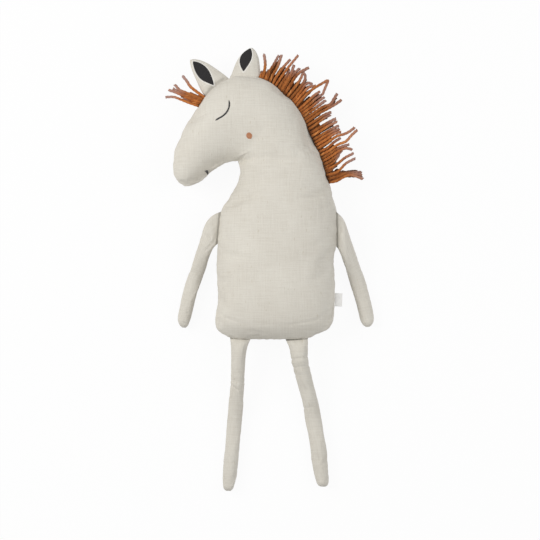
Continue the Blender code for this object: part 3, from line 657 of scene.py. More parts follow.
# Where the skin's edge moves: a place in tenths of a pixel, pixels to the right and down, and their reach
EDGE_NUDGES = (
    (3310, 3280, 1.4, 1.3, 7.0), (2185, 3300, -0.8, 0.8, 6.0), (2170, 3010, 1.6, 0.0, 9.0),
    (2375, 1710, 1.1, 0.0, 6.0), (2170, 2640, -1.2, 0.0, 14.0), (2310, 1960, -0.5, 0.0, 9.0),
    (3340, 1980, -0.9, 0.0, 11.0), (3350, 2710, 1.3, 0.0, 14.0), (1720, 1620, 0.8, 0.0, 10.0),
    (1890, 1250, -0.5, -0.3, 10.0), (2190, 1640, 0.0, 0.8, 10.0), (2040, 1750, 0.4, 0.5, 8.0),
    (1730, 1695, 0.9, 0.0, 5.5), (3275, 3315, 0.6, 0.7, 5.0), (3180, 3350, -0.3, -0.8, 4.5),
    (2270, 3365, 0.3, -0.6, 5.0),
)
# Edges that the front slopes down to: depth and reach in millimetres, and a line in tenths of a pixel
SLOPES = (
    (10.0, 9.5, (2380, 1615, 2250, 1610, 2130, 1660, 2050, 1745, 2010, 1790)),
    (3.6, 7.0, (2010, 1790, 1910, 1850, 1830, 1845, 1740, 1780)),
    (10.0, 9.0, (3345, 2150, 3355, 2600, 3345, 3000, 3310, 3180)),
    (6.2, 9.0, (2960, 1080, 3060, 1250, 3160, 1450, 3260, 1720)),
)
# How far from a seam the cloth is held and half held, how much it grows, and how far it may move
SKIN_MEASURES = (1.2 * MM, 3.5 * MM, 0.035, 6 * MM)
LIMB_MEASURES = (0.8 * MM, 0.8 * MM, 0.02, 1.2 * MM)
# Puckers beside a seam: their pitch, reach and start
SKIN_PUCKERS, LIMB_PUCKERS = (11 * MM, 7 * MM, 1.5 * MM), (14 * MM, 5 * MM, 1.2 * MM)
SKIN_PUCKER, SKIN_BUMP, SKIN_DIP, SKIN_DIP_WIDTH = 0.8 * MM, 1.0 * MM, 0.7 * MM, 2.2 * MM
NOSE_REACH = 16 * MM
# How dark and how wide the painted shade along the mane's root is
NAPE_PAINTED_SHADE, NAPE_WIDTH = 0.30, 1.2 * MM
FRONT_LEVEL = 70 * MM
RISE = 20 * MM
HEM_PX, HEM_REACH, HEM_DEPTH = 339, 26 * MM, 8.0 * MM
SKIN_FLOOR = 0.15 * MM


def shape_skin(co, normals, far, place):
    """Puckers, soft bumps, folds and slopes of the stuffed skin."""
    calm = facing(normals, 0.25)
    from_nose = np.linalg.norm(co[:, :2] - middles(ROWS[-1]), axis=1)
    calm *= 1 - 0.9 * bell(from_nose, NOSE_REACH)
    pucker = puckers(far, place, *SKIN_PUCKERS, 3) * calm * SKIN_PUCKER
    dip = bell(far, SKIN_DIP_WIDTH) * SKIN_DIP
    co += normals * (pucker - dip + noise_at(co, 22.0, 1) * calm * SKIN_BUMP)[:, None]
    for x, y, right, down, reach in EDGE_NUDGES:
        near = bell(np.linalg.norm(co[:, :2] - at(x / 10, y / 10), axis=1), reach * PIXEL)
        co[:, :2] += np.outer(near, np.array((right, -down)) * PIXEL)
    for depth, reach, edge in SLOPES:
        above = np.clip((co[:, 2] - HEAD_LEVEL) / RISE, 0, 1)
        co[:, 2] -= depth * MM * np.exp(-plan_distance(co, places_on(edge))[0] / (reach * MM)) * above
    hem = np.clip((at(0, HEM_PX)[1] + HEM_REACH - co[:, 1]) / HEM_REACH, 0, 1)
    co[:, 2] -= HEM_DEPTH * hem**1.6 * np.clip((co[:, 2] - TORSO_LEVEL) / RISE, 0, 1)
    face = np.clip(normals[:, 2] * 2, 0, 1)
    for *ends, depth, width, fade in FRONT_FOLDS:
        co += normals * (crease(co, ends, depth * MM, width * MM, fade, FRONT_LEVEL) * face)[:, None]
    co[:, 2] = np.maximum(co[:, 2], SKIN_FLOOR)


def make_skin():
    """The torso and head: one linen skin of two panels, sewn round the outline, with painted shade along the
    mane's root.
    """
    rows = ROWS.copy()
    rows[0, [FRONT, BACK]] = rows[-1, [FRONT, BACK]] = END_HALF
    rings, cloth = loft(rows, BODY_SIDES)
    skin = sewn_tube("body_skin", rings, LINEN, cloth)
    co, *measures = inflated(skin, outline_of(ROWS), 0, *SKIN_MEASURES)
    from_crest, place = line_distance(co, CREST.points)
    place = place + CREST.places[0]
    shape_skin(co, *measures)
    set_points(skin.data, co)
    # Painted shade: a thin dark line along the crest where the mane's roots are sewn
    on_nape = (place > MANE_LOW) & (place < MANE_END)
    mark(skin, "painted_shade", np.where(on_nape, NAPE_PAINTED_SHADE * bell(from_crest, NAPE_WIDTH), 0))
    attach(skin, "torso")
    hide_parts("torso_cover", "head_cover", "torso_filling", "head_filling")
    return tree_of(skin, co)


SKIN_TREE = make_skin()


def on_skin(x, y, lift):
    """The point over the front of the skin, lifted off it, and which way the cloth faces there."""
    hit, square = hit_from_above(SKIN_TREE, x, y)
    if hit is None:
        hit, square = SKIN_TREE.find_nearest(Vector((x, y, HEAD_LEVEL + HEAD[2] / 4)))[:2]
    return hit + square * lift, square


# Limbs: cross-sections from the seam to the end, each by its two edges in tenths of a pixel

SEAM_HALF = 1.5 * MM
ROOT_IN = 3.0 * MM
LIMB_SIDES = 40
LIMB_STEPS = 6
LIMB_DEPTH = 23 * MM
LIMB_END = 9 * MM
LIMB_PUFF = 0.16 * MM
DROOP_SHARE = 0.62
SLEEVE_HALF = 7.5 * MM
LIMB_PUCKER, LIMB_BUMP, LIMB_DIP, LIMB_DIP_WIDTH = 0.3 * MM, 0.7 * MM, 0.3 * MM, 1.3 * MM
# How far from the seam the folds and bumps grow in, and the width of the painted shade along the seam
LIMB_HELD, LIMB_SHADE_WIDTH = 5 * MM, 1.4 * MM
LIMB_LEAST = 0.2 * MM
LIMB_FLOOR = 0.12 * MM
LEFT_ARM = (
    2194, 2124, 2166, 2443, 2146, 2142, 2154, 2457, 2098, 2178, 2136, 2474, 2062, 2226, 2122, 2493, 2038,
    2282, 2113, 2513, 2018, 2344, 2105, 2532, 1996, 2422, 2096, 2554, 1968, 2503, 2083, 2590, 1938, 2595,
    2063, 2660, 1908, 2704, 2036, 2740, 1858, 2837, 1982, 2870, 1820, 2971, 1950, 3000, 1791, 3105, 1923,
    3130, 1777, 3172, 1908, 3185, 1783, 3215, 1894, 3224, 1799, 3250, 1878, 3255, 1824, 3276, 1856, 3278,
)
RIGHT_ARM = (
    3374, 2478, 3370, 2126, 3384, 2492, 3409, 2160, 3395, 2514, 3438, 2198, 3406, 2538, 3460, 2248, 3416,
    2564, 3480, 2308, 3428, 2596, 3504, 2376, 3443, 2634, 3526, 2444, 3458, 2674, 3552, 2520, 3471, 2716,
    3584, 2620, 3484, 2760, 3614, 2712, 3519, 2876, 3658, 2837, 3556, 3006, 3698, 2971, 3587, 3132, 3729,
    3105, 3599, 3186, 3738, 3176, 3612, 3222, 3733, 3216, 3632, 3250, 3716, 3248, 3660, 3270, 3688, 3270,
)
LEFT_LEG = (
    2302, 3379, 2503, 3391, 2306, 3410, 2493, 3416, 2310, 3455, 2476, 3459, 2312, 3517, 2461, 3519, 2311,
    3625, 2451, 3626, 2310, 3740, 2445, 3740, 2310, 3831, 2440, 3831, 2301, 3885, 2437, 3885, 2295, 3980,
    2432, 3982, 2289, 4100, 2424, 4104, 2272, 4276, 2405, 4282, 2252, 4493, 2390, 4501, 2238, 4601, 2380,
    4610, 2231, 4709, 2371, 4718, 2227, 4796, 2355, 4804, 2230, 4850, 2340, 4858, 2240, 4886, 2325, 4890,
    2264, 4909, 2304, 4910,
)
RIGHT_LEG = (
    2860, 3399, 3077, 3381, 2874, 3430, 3078, 3416, 2892, 3472, 3078, 3462, 2903, 3517, 3078, 3510, 2911,
    3608, 3078, 3596, 2933, 3684, 3094, 3672, 2966, 3810, 3124, 3798, 2998, 3922, 3152, 3910, 3032, 4034,
    3179, 4024, 3042, 4124, 3197, 4116, 3069, 4276, 3222, 4268, 3090, 4384, 3242, 4380, 3107, 4493, 3265,
    4490, 3117, 4601, 3271, 4600, 3135, 4712, 3279, 4712, 3156, 4790, 3287, 4790, 3170, 4832, 3283, 4833,
    3188, 4856, 3266, 4858, 3215, 4866, 3245, 4867,
)
# Body, linen, cross-sections, length in which it swells, darkness of the painted shade at its seam, and folds
# as on the skin
LIMBS = (
    ("left_arm", SHADED_LINEN, LEFT_ARM, 42 * MM, 0.55, (
        (2050, 2354, 2170, 2350, 0.9, 1.4), (2060, 2500, 2140, 2420, 1.2, 1.8),
        (1920, 2720, 2030, 2750, 0.6, 2.5), (1950, 2620, 2060, 2590, 0.5, 3.0),
    )),
    ("right_arm", LIT_LINEN, RIGHT_ARM, 42 * MM, 0.65, (
        (3480, 2620, 3580, 2600, 0.5, 3.0), (3400, 2460, 3510, 2400, 0.4, 4.0),
        (3580, 3020, 3700, 2990, 0.4, 3.0),
    )),
    ("left_leg", SHADED_LINEN, LEFT_LEG, 34 * MM, 0.75, (
        (2310, 3854, 2396, 3910, 1.5, 1.1), (2310, 3824, 2375, 3865, -0.8, 1.0),
        (2375, 3865, 2400, 4000, -0.7, 1.2), (2320, 3805, 2430, 3825, 0.9, 1.6),
        (2380, 3854, 2450, 3850, -0.5, 1.0), (2420, 3860, 2430, 4020, 0.7, 1.6),
        (2330, 3710, 2450, 3750, 0.4, 4.0),
    )),
    ("right_leg", SHADED_LINEN, RIGHT_LEG, 34 * MM, 1.0, (
        (2910, 3595, 3080, 3565, 1.0, 1.8), (2920, 3630, 3080, 3610, -0.6, 1.6),
        (2940, 3675, 3090, 3655, 1.3, 2.0), (2940, 3715, 3080, 3710, -0.6, 1.4),
        (2950, 3755, 3050, 3750, 0.7, 1.6), (3030, 4090, 3130, 4070, 0.9, 2.4),
    )),
)


def hang(share):
    """The level of a limb's middle, from the seam to where it lies on the floor."""
    return TORSO_LEVEL + (LIMB_DEPTH / 2 - REST_FLAT - TORSO_LEVEL) * ease(share / DROOP_SHARE)


def limb_rows(edges, swell):
    """Cross-sections that hang from the seam's level to the floor and swell to a round sleeve."""
    edges = in_pixels(edges, 4)
    down = distances(middles(edges))
    rows = [(*at(a, b, z), *at(c, d, z)) for (a, b, c, d), z in zip(edges, hang(down / down[-1]))]
    fine = smooth_rows(np.array(rows), LIMB_STEPS)
    share = np.linspace(0, 1, len(fine))
    inner = (ease(share * 6) * ease((1 - share) * 5))[1:-1, None]
    for _ in range(30):
        fine[1:-1] += (fine[:-2] + fine[2:] - 2 * fine[1:-1]) / 4 * inner
    middle = middles(fine)
    down = distances(middle)
    made = []
    for row, place in zip(fine, down):
        across = row[2:4] - row[:2]
        half_width = np.linalg.norm(across) / 2
        row[:4] += np.concatenate([-across, across]) / half_width * LIMB_PUFF
        t = place / down[-1]
        half = SEAM_HALF + (LIMB_DEPTH / 2 - SEAM_HALF) * (1 - (1 - min(place / swell, 1)) ** 2)
        left_over = np.clip((down[-1] - place) / LIMB_END, 0, 1)
        half *= math.sqrt(1 - (1 - left_over) ** 2) * 0.96 + 0.04
        half = min(half, half_width * 1.25 + LIMB_LEAST) if t > 0.5 else half
        made.append((*row, hang(t), half, half))
    made = np.array(made)
    inward = middle[0] - middle[3]
    inward /= np.linalg.norm(inward)
    sunk = []
    for share, thin in ((1.0, 0.45), (0.5, 0.8)):
        row = made[0].copy()
        row[:4] += np.tile(inward * ROOT_IN * share, 2)
        row[[FRONT, BACK]] *= thin
        sunk.append(row)
    return np.vstack([sunk, made])


def limb_cloth(rows, seed):
    """A limb's flat-cloth places: across it and down it."""
    turn = TURN * np.arange(LIMB_SIDES) / LIMB_SIDES
    wrap = np.where(turn <= math.pi, turn, TURN - turn) - math.pi / 2
    across, flat = SLEEVE_HALF * wrap * 1.3, np.zeros(LIMB_SIDES)
    down = distances(middles(rows))
    return np.array([np.column_stack([across, flat - s, flat]) for s in down]) + (seed * 0.13, seed * 0.07, 0)


def make_limb(body, linen, edges, swell, line, creases, seed):
    """A stuffed sleeve: thin at its seam, rounded at its end, with folds where it bends and painted shade
    along its seam.
    """
    rows = limb_rows(edges, swell)
    rings, _ = loft(rows, LIMB_SIDES)
    piece = sewn_tube(f"{body}_padded", rings, linen, limb_cloth(rows, seed))
    co, normals, far, place = inflated(piece, outline_of(rows), 3 * LIMB_SIDES, *LIMB_MEASURES)
    from_seam, _ = plan_distance(co, rows[2, :4].reshape(2, 2))
    lift = puckers(far, place, *LIMB_PUCKERS, seed) * LIMB_PUCKER
    lift -= bell(far, LIMB_DIP_WIDTH) * LIMB_DIP
    lift += noise_at(co, 32.0, seed) * LIMB_BUMP
    lift *= facing(normals, 0.2)
    for *ends, depth, width in creases:
        lift += crease(co, ends, depth * MM, width * MM, 0.4)
    co += normals * (lift * ease(from_seam / LIMB_HELD))[:, None]
    co[:, 2] = np.maximum(co[:, 2], LIMB_FLOOR)
    set_points(piece.data, co)
    # Painted shade: a dark line in the groove along the limb's seam
    mark(piece, "painted_shade", line * bell(from_seam, LIMB_SHADE_WIDTH))
    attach(piece, body)
    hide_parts(f"{body}_sleeve", f"{body}_filling")


for number, limb in enumerate(LIMBS, 11):
    make_limb(*limb, number)


# Ears: cross-sections from the foot to the tip, and the dark lining's two edges, in tenths of a pixel

EAR_SIDES = 88
EAR_HALF = 7.5 * MM
EAR_CLOTH = (18, 60)
EAR_LEAST = 0.3 * MM
EAR_BUMP = 0.7 * MM
HOLLOW, HOLLOW_OUT, HOLLOW_SLOPE = 1.9 * MM, 0.5 * MM, 1.6 * MM
RIM, RIM_OUT, RIM_WIDTH = 0.75 * MM, 1.0 * MM, 0.9 * MM
# The painted highlight on the rim round the hollow: its strength, offset and width
RIM_HIGHLIGHT, RIM_HIGHLIGHT_OUT, RIM_HIGHLIGHT_WIDTH = 0.75, 0.9 * MM, 0.8 * MM
LEAF_POINTS = 40
LEAF_COLUMNS = 14
LEAF_THICK = 0.9 * MM
LEAF_SWELL, LEAF_GAP = 0.35 * MM, 0.15 * MM
LEFT_EAR = (
    2089, 1013, 2322, 826, 2068, 986, 2300, 802, 2048, 960, 2277, 775, 2022, 926, 2242, 746, 1995, 876,
    2202, 716, 1963, 803, 2143, 675, 1935, 740, 2089, 639, 1914, 686, 2041, 615, 1903, 640, 1999, 600, 1899,
    612, 1960, 592, 1905, 597, 1931, 591,
)
RIGHT_EAR = (
    2346, 856, 2588, 842, 2322, 816, 2594, 802, 2299, 779, 2599, 764, 2314, 744, 2603, 720, 2330, 702, 2599,
    676, 2349, 652, 2594, 624, 2372, 604, 2587, 580, 2400, 560, 2574, 544, 2434, 524, 2558, 514, 2468, 498,
    2540, 492, 2496, 481, 2522, 478,
)
LEFT_LEAF = (
    (1929, 613, 1933, 646, 1942, 680, 1955, 716, 1973, 750,
     1997, 781, 2024, 804, 2055, 821, 2096, 838, 2139, 856),
    (1929, 613, 1966, 619, 2005, 633, 2039, 654, 2068, 681,
     2092, 714, 2109, 751, 2125, 792, 2134, 824, 2139, 856),
)
RIGHT_LEAF = (
    (2504, 481, 2480, 494, 2457, 508, 2436, 525, 2417, 547,
     2403, 575, 2397, 610, 2402, 648, 2416, 684, 2436, 719),
    (2504, 481, 2516, 508, 2521, 540, 2518, 574, 2509, 603,
     2496, 630, 2481, 654, 2466, 676, 2451, 698, 2436, 719),
)


def inside_leaf(plan, border):
    """How far inside a closed outline each place lies; negative outside it."""
    inside = np.zeros(len(plan), bool)
    for a, b in zip(border, border[1:]):
        crosses = (a[1] > plan[:, 1]) != (b[1] > plan[:, 1])
        reach = a[0] + (plan[:, 1] - a[1]) * (b - a)[0] / ((b - a)[1] or 1e-12)
        inside ^= crosses & (plan[:, 0] < reach)
    far, _ = line_distance(plan, border)
    return np.where(inside, far, -far)


def ear_rings(edges, fullness, seed):
    """An ear's rings of points, and their places on the flat cloth."""
    rows = smooth_rows(np.array([(*at(a, b), *at(c, d)) for a, b, c, d in in_pixels(edges, 4)]))
    up = distances(middles(rows))
    up /= up[-1]
    made = []
    for row, t in zip(rows, up):
        half_width = np.linalg.norm(row[2:4] - row[:2]) / 2
        front = EAR_HALF * (1 - 0.62 * ease((t - 0.25) / 0.75)) * fullness
        front = min(front, half_width * 0.9 + EAR_LEAST)
        made.append((*row, HEAD_LEVEL, front, front * 0.85))
    across = np.cos(TURN * np.arange(EAR_SIDES) / EAR_SIDES) * EAR_CLOTH[0] * MM
    cloth = [np.column_stack(np.broadcast_arrays(across, t * EAR_CLOTH[1] * MM, seed)) for t in up]
    return loft(np.array(made), EAR_SIDES)[0], np.array(cloth)


def make_ear(name, edges, leaf, seed, fullness, shades):
    """A stuffed linen ear with a hollow front, and the dark lining in the hollow; a painted highlight round
    the hollow and painted shade along its base and folds.
    """
    rings, cloth = ear_rings(edges, fullness, seed)
    verts = rings.reshape(-1, 3)
    sides = [chain(line, LEAF_POINTS) for line in leaf]
    hollow = inside_leaf(verts[:, :2], np.vstack([sides[0], sides[1][-2::-1]]))
    front = verts[:, 2] > HEAD_LEVEL
    press = ease((hollow + HOLLOW_OUT) / HOLLOW_SLOPE) * HOLLOW
    verts[front, 2] += (bell(hollow + RIM_OUT, RIM_WIDTH) * RIM - press)[front]
    verts[:, 2] += noise_at(verts, 55.0, seed) * EAR_BUMP
    shell = sewn_tube(f"{name}_padded", rings, SHADED_LINEN, cloth)
    # Painted highlight: a pale line on the rim round the hollow
    mark(shell, "pale", np.where(front, RIM_HIGHLIGHT * bell(hollow + RIM_HIGHLIGHT_OUT, RIM_HIGHLIGHT_WIDTH), 0))
    # Painted shade: soft dark bands where the ear meets the head and where it folds away
    shade = np.zeros(len(verts))
    for *ends, depth, width in shades:
        shade = np.maximum(shade, -crease(verts, ends, 1.0, width * MM, 0.0) * depth)
    mark(shell, "painted_shade", shade * front)
    tree = tree_of(shell, verts)
    subdivide(shell)
    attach(shell, name)
    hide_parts(f"{name}_shell")

    top, places = [], []
    for i in range(1, LEAF_POINTS - 1):
        for j in range(LEAF_COLUMNS + 1):
            x, y = sides[0][i] * (1 - j / LEAF_COLUMNS) + sides[1][i] * j / LEAF_COLUMNS
            from_side = min(j, LEAF_COLUMNS - j) / LEAF_COLUMNS
            lift = LEAF_SWELL * ease(from_side * 6) + LEAF_GAP
            top.append((x, y, hit_from_above(tree, x, y)[0].z + lift))
            places.append((j * 1.2 * MM, i * MM, seed))
    under = np.array(top) - (0, 0, LEAF_THICK)
    faces = sheet_faces(LEAF_POINTS - 2, LEAF_COLUMNS + 1)
    lining = mesh_piece(f"{name}_felt", np.vstack([top, under]), faces, FELT, places + places)
    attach(lining, name)
    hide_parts(f"{name}_lining")


# Each ear's last table: lines in tenths of a pixel, with the darkness and the width in millimetres of the
# painted shade along them
make_ear("left_ear", LEFT_EAR, LEFT_LEAF, 5, 1.0, (
    (2058, 948, 2098, 894, 0.34, 2.4), (2098, 894, 2156, 839, 0.4, 3.4), (2156, 839, 2232, 790, 0.34, 2.6),
))
make_ear("right_ear", RIGHT_EAR, RIGHT_LEAF, 3, 1.15, (
    (2568, 570, 2588, 660, 0.12, 2.2), (2588, 660, 2598, 755, 0.14, 2.2), (2480, 776, 2595, 772, 0.16, 1.4),
))


# Yarn

PLIES = 3
PLY_SIDES = 6
YARN_RADIUS = 2.0 * MM
YARN_POINTS = 22
YARN_LEVEL = 46 * MM
YARN_STEP = 1.4 * MM
YARN_IN = 0.8 * MM
TWIST = 19 * MM
LOOSE = 5 * MM
# How far from the root the painted shade on each yarn fades out
ROOT_SHADE = 6 * MM
CROWDED = 3.6 * MM
PARTED = 10.5 * MM
UNDER_LONGEST = 62 * MM
GAP_HALF = 1.3 * MM
SLICES = 6
SLICE_GAP = 0.3 * MM
MANE_DROOP, FORELOCK_DROOP = 12 * MM, 10 * MM
# Layers of shorter yarns: lift in millimetres, shares of the full length, swing in degrees, and lightness,
# which is painted shade for the yarns that lie lower
MANE_LAYERS = ((0.8, 0.6, 0.92, 5, 0.42), (-2.4, 0.6, 0.95, 6, 0.22))
FORELOCK_LAYERS = ((0.6, 0.5, 0.75, 4, 0.95), (-2.2, 0.5, 0.7, 6, 0.60))
# The tape's section, outward and up in millimetres, and the step between its rings
TAPE = ((-1.2, -5.0), (3.2, -4.2), (3.2, -1.0), (0.8, 4.9), (-1.2, 4.9))
TAPE_STEP = 2.5 * MM
# How dark the tape is drawn: painted shade along the mane's root
TAPE_PAINTED_SHADE = 0.16

# The yarns that lie on top, each from its root to its tip, in tenths of a pixel
MANE_YARNS = (
    (2604, 768, 2612, 744, 2618, 712), (2626, 780, 2646, 700, 2652, 624, 2639, 536),
    (2654, 796, 2670, 744, 2686, 698), (2674, 808, 2694, 716, 2734, 646, 2788, 546),
    (2697, 820, 2732, 740, 2778, 662, 2816, 542), (2729, 839, 2766, 765, 2831, 672, 2905, 589),
    (2757, 852, 2813, 769, 2868, 691, 2924, 621, 2988, 542), (2790, 874, 2838, 796, 2876, 730, 2894, 680),
    (2806, 884, 2862, 802, 2906, 736, 2946, 696), (2819, 898, 2872, 808, 2914, 724, 2942, 642),
    (2831, 913, 2874, 829, 2924, 751, 3002, 675),
    (2854, 931, 2905, 848, 2948, 776, 2994, 724, 3044, 696, 3094, 668),
    (2882, 954, 2951, 866, 3007, 783, 3039, 700), (2910, 982, 2988, 885, 3042, 811, 3053, 758, 3034, 718),
    (2933, 1010, 2998, 918, 3044, 852, 3090, 826, 3124, 841), (2946, 1033, 3025, 936, 3090, 870, 3157, 855),
    (2970, 1056, 3053, 954, 3146, 878, 3220, 834, 3282, 800, 3263, 850, 3223, 952),
    (2998, 1088, 3081, 1008, 3146, 947, 3204, 910), (3012, 1112, 3099, 1038, 3164, 978, 3226, 940),
    (3026, 1134, 3116, 1066, 3182, 1012, 3246, 966), (3040, 1159, 3126, 1099, 3198, 1046, 3261, 997),
    (3058, 1190, 3155, 1118, 3238, 1063, 3303, 1043, 3340, 987, 3379, 923),
    (3074, 1218, 3168, 1145, 3270, 1088, 3349, 1042, 3420, 993),
    (3090, 1246, 3169, 1194, 3249, 1143, 3319, 1116), (3106, 1283, 3178, 1228, 3242, 1180, 3308, 1142),
    (3122, 1320, 3201, 1272, 3284, 1222, 3365, 1181), (3138, 1349, 3213, 1302, 3296, 1250, 3375, 1212),
    (3155, 1384, 3229, 1339, 3312, 1290, 3393, 1252), (3166, 1417, 3238, 1367, 3326, 1313, 3399, 1285),
    (3178, 1446, 3257, 1396, 3344, 1336, 3416, 1314),
    (3189, 1479, 3275, 1424, 3368, 1362, 3442, 1340, 3497, 1312, 3550, 1271),
    (3203, 1514, 3279, 1474, 3341, 1420, 3409, 1376),
    (3216, 1551, 3300, 1500, 3381, 1445, 3460, 1412, 3520, 1347, 3582, 1290),
    (3227, 1583, 3314, 1524, 3400, 1472, 3495, 1442),
    (3237, 1609, 3316, 1559, 3395, 1505, 3460, 1481, 3528, 1495),
    (3249, 1643, 3314, 1600, 3368, 1555, 3423, 1499), (3257, 1671, 3321, 1631, 3371, 1580, 3393, 1542),
    (3264, 1695, 3331, 1664, 3381, 1633, 3451, 1576, 3541, 1528), (3270, 1719, 3315, 1695, 3350, 1660),
    (3277, 1743, 3349, 1731, 3397, 1699, 3460, 1633, 3559, 1579),
    (3283, 1764, 3368, 1739, 3460, 1729, 3534, 1721, 3621, 1719),
    (3289, 1787, 3368, 1766, 3460, 1736, 3534, 1736, 3623, 1747),
    (3295, 1805, 3368, 1789, 3454, 1747, 3536, 1750, 3629, 1771),
    (3299, 1819, 3366, 1809, 3440, 1767, 3502, 1749, 3568, 1763, 3634, 1790),
)
FORELOCK_YARNS = (
    (2042, 969, 1988, 932, 1908, 869, 1868, 811, 1820, 750),
    (2026, 988, 1918, 949, 1842, 918, 1793, 896, 1743, 838),
    (2014, 1003, 1924, 970, 1842, 940, 1776, 912, 1724, 880),
    (2004, 1017, 1906, 989, 1821, 950, 1753, 919, 1681, 895), (1992, 1034, 1908, 1014, 1826, 978),
    (1978, 1054, 1896, 1030, 1799, 990, 1734, 967, 1652, 968),
)
# Where the floor shows between the yarns: lines in tenths of a pixel
PARTINGS = (
    (2676, 700, 2686, 600), (2756, 738, 2815, 640), (2805, 764, 2918, 622), (2906, 836, 2956, 792),
    (3006, 822, 3028, 760), (3062, 974, 3224, 880), (3096, 1134, 3250, 1029), (3152, 1191, 3224, 1143),
    (3206, 1238, 3332, 1163), (3214, 1330, 3344, 1258), (3216, 1419, 3288, 1379), (3242, 1470, 3352, 1421),
    (3380, 1415, 3497, 1332), (3384, 1475, 3446, 1442), (3374, 1610, 3418, 1546), (3418, 1546, 3510, 1520),
    (3339, 1701, 3414, 1641), (3414, 1641, 3516, 1571), (3410, 1706, 3540, 1660), (1876, 876, 1976, 940),
    (1700, 940, 1860, 988),
)


def before_gap(path):
    """The part of a yarn before it would cross a place where the floor shows."""
    for parting in PARTINGS:
        near = plan_distance(path, places_on(parting, YARN_LEVEL))[0] < GAP_HALF
        if near.any():
            path = path[: int(np.argmax(near))]
    return path


class Threads:
    """Yarns or stitches gathered into one piece."""

    def __init__(self):
        self.verts, self.faces, self.cloth, self.tone, self.tip = [], [], [], [], []
        self.number = 0

    def rod(self, count, points, cloth, tone=(), tip=()):
        """Adds rings of points, closed at both ends."""
        self.faces += rod_faces(count, len(points) // count, len(self.verts))
        self.verts += list(points)
        self.cloth += cloth
        self.tone += list(tone)
        self.tip += list(tip)

    def strand(self, path, radius, draw, shade, bleached=0.0):
        """One yarn end: plies twisted round the path, which loosen where they are cut."""
        places = distances(path)
        length = places[-1]
        count = max(int(length / YARN_STEP), 8)
        s = np.linspace(0, length, count)
        line = points_at(path, places, s)
        phase = draw.uniform(0, TURN)
        along = directions(line)
        side = np.cross(along, (0, 0, 1.0))
        side /= np.maximum(np.linalg.norm(side, axis=1), 1e-6)[:, None]
        over = np.cross(side, along)
        loose = np.clip((s - (length - LOOSE)) / LOOSE, 0, 1) ** 2
        # Painted shade: each strand's lightness is a random tone, times its layer's shade, and darker towards
        # its root
        lights = shade * draw.uniform(0.62, 1.06) * (0.38 + 0.62 * ease(s / ROOT_SHADE))
        pale = bleached * ease((s / length - 0.45) / 0.5) * draw.uniform(0.6, 1.0)
        around = TURN * np.arange(PLY_SIDES) / PLY_SIDES
        cos, sin = np.cos(around)[:, None], np.sin(around)[:, None]
        thick = radius * 0.70 * (1 - 0.3 * np.clip((s - length * 0.95) / (length * 0.05), 0, 1))
        for ply in range(PLIES):
            turn = phase + TURN * (ply / PLIES + s / TWIST)
            cut = length * (1 - draw.uniform(0, 0.03))
            out = radius * (0.34 + 0.30 * loose * draw.uniform(0.2, 1.2))
            centre = line + (side * np.cos(turn)[:, None] + over * np.sin(turn)[:, None]) * out[:, None]
            centre = centre - along * ((length - cut) * (s / length))[:, None]
            rings = centre[:, None] + (cos * side[:, None] + sin * over[:, None]) * thick[:, None, None]
            shift, depth = ply * 0.02, self.number * 0.37
            across = [a / TURN * 0.01 + shift + self.number * 0.071 for a in around]
            cloth = [(down, wide, depth) for down in s for wide in across]
            self.rod(count, rings.reshape(-1, 3), cloth, lights.repeat(PLY_SIDES), pale.repeat(PLY_SIDES))
        self.number += 1

    def tape(self, start, end):
        """The tape in the seam that the roots are sewn to, drawn dark as painted shade under the roots."""
        count = max(int((end - start) / TAPE_STEP), 3)
        points, cloth = [], []
        for place in np.linspace(start, end, count):
            root, out = CREST.at(place), CREST.outward(place)
            for reach, rise in TAPE:
                points.append((*(root[:2] + out * reach * MM), root[2] + rise * MM))
                cloth.append((place, rise * MM, 0.5))
        self.rod(count, points, cloth, [TAPE_PAINTED_SHADE] * len(points), [0.0] * len(points))

    def stitch(self, middle, reach, lift):
        """One thread of satin stitch over the skin, with both ends sunk in."""
        points, cloth = [], []
        way = Vector((*reach, 0)).normalized()
        for k in range(STITCH_RINGS):
            t = k / (STITCH_RINGS - 1)
            crown = math.sin(math.pi * t) ** 0.5
            spot, square = on_skin(*(middle + reach * (2 * t - 1)), lift * crown - THREAD * 0.8)
            side = way.cross(square).normalized()
            over = side.cross(way).normalized()
            thick = THREAD * (0.55 + 0.45 * crown)
            for angle in (TURN * m / STITCH_SIDES for m in range(STITCH_SIDES)):
                points.append(spot + (side * math.cos(angle) + over * math.sin(angle)) * thick)
                cloth.append((t * 0.01, angle * 0.001 + self.number * 0.01, 0))
        self.rod(STITCH_RINGS, points, cloth)
        self.number += 1

    def piece(self, name, node, slot, material):
        made = mesh_piece(name, self.verts, self.faces, material, self.cloth)
        if self.tone:
            mark(made, "tone", self.tone)
            mark(made, "tip", self.tip)
        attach(made, "torso")
        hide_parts(node)


def laid(plan, lift, droop):
    """Lays a yarn's plan at the crest's level, lifted at its root and sinking to its tip."""
    t = np.linspace(0, 1, len(plan))
    place = CREST.nearest(plan[0])
    root = CREST.at(place)
    start = root[:2] - CREST.outward(place) * YARN_IN
    plan = plan + np.outer(np.clip(1 - t * 4, 0, 1) ** 2, start - plan[0])
    return np.column_stack([plan, root[2] + lift * (1 - 0.35 * t) - droop * t**1.7])


def shortened(plan, share, turn):
    """The first part of a yarn's plan, swung about its root."""
    t = np.linspace(0, share, len(plan)) * (len(plan) - 1)
    cut = points_at(plan, np.arange(len(plan)), t)
    c, s = math.cos(turn), math.sin(turn)
    return cut[0] + (cut - cut[0]) @ np.array(((c, s), (-s, c)))


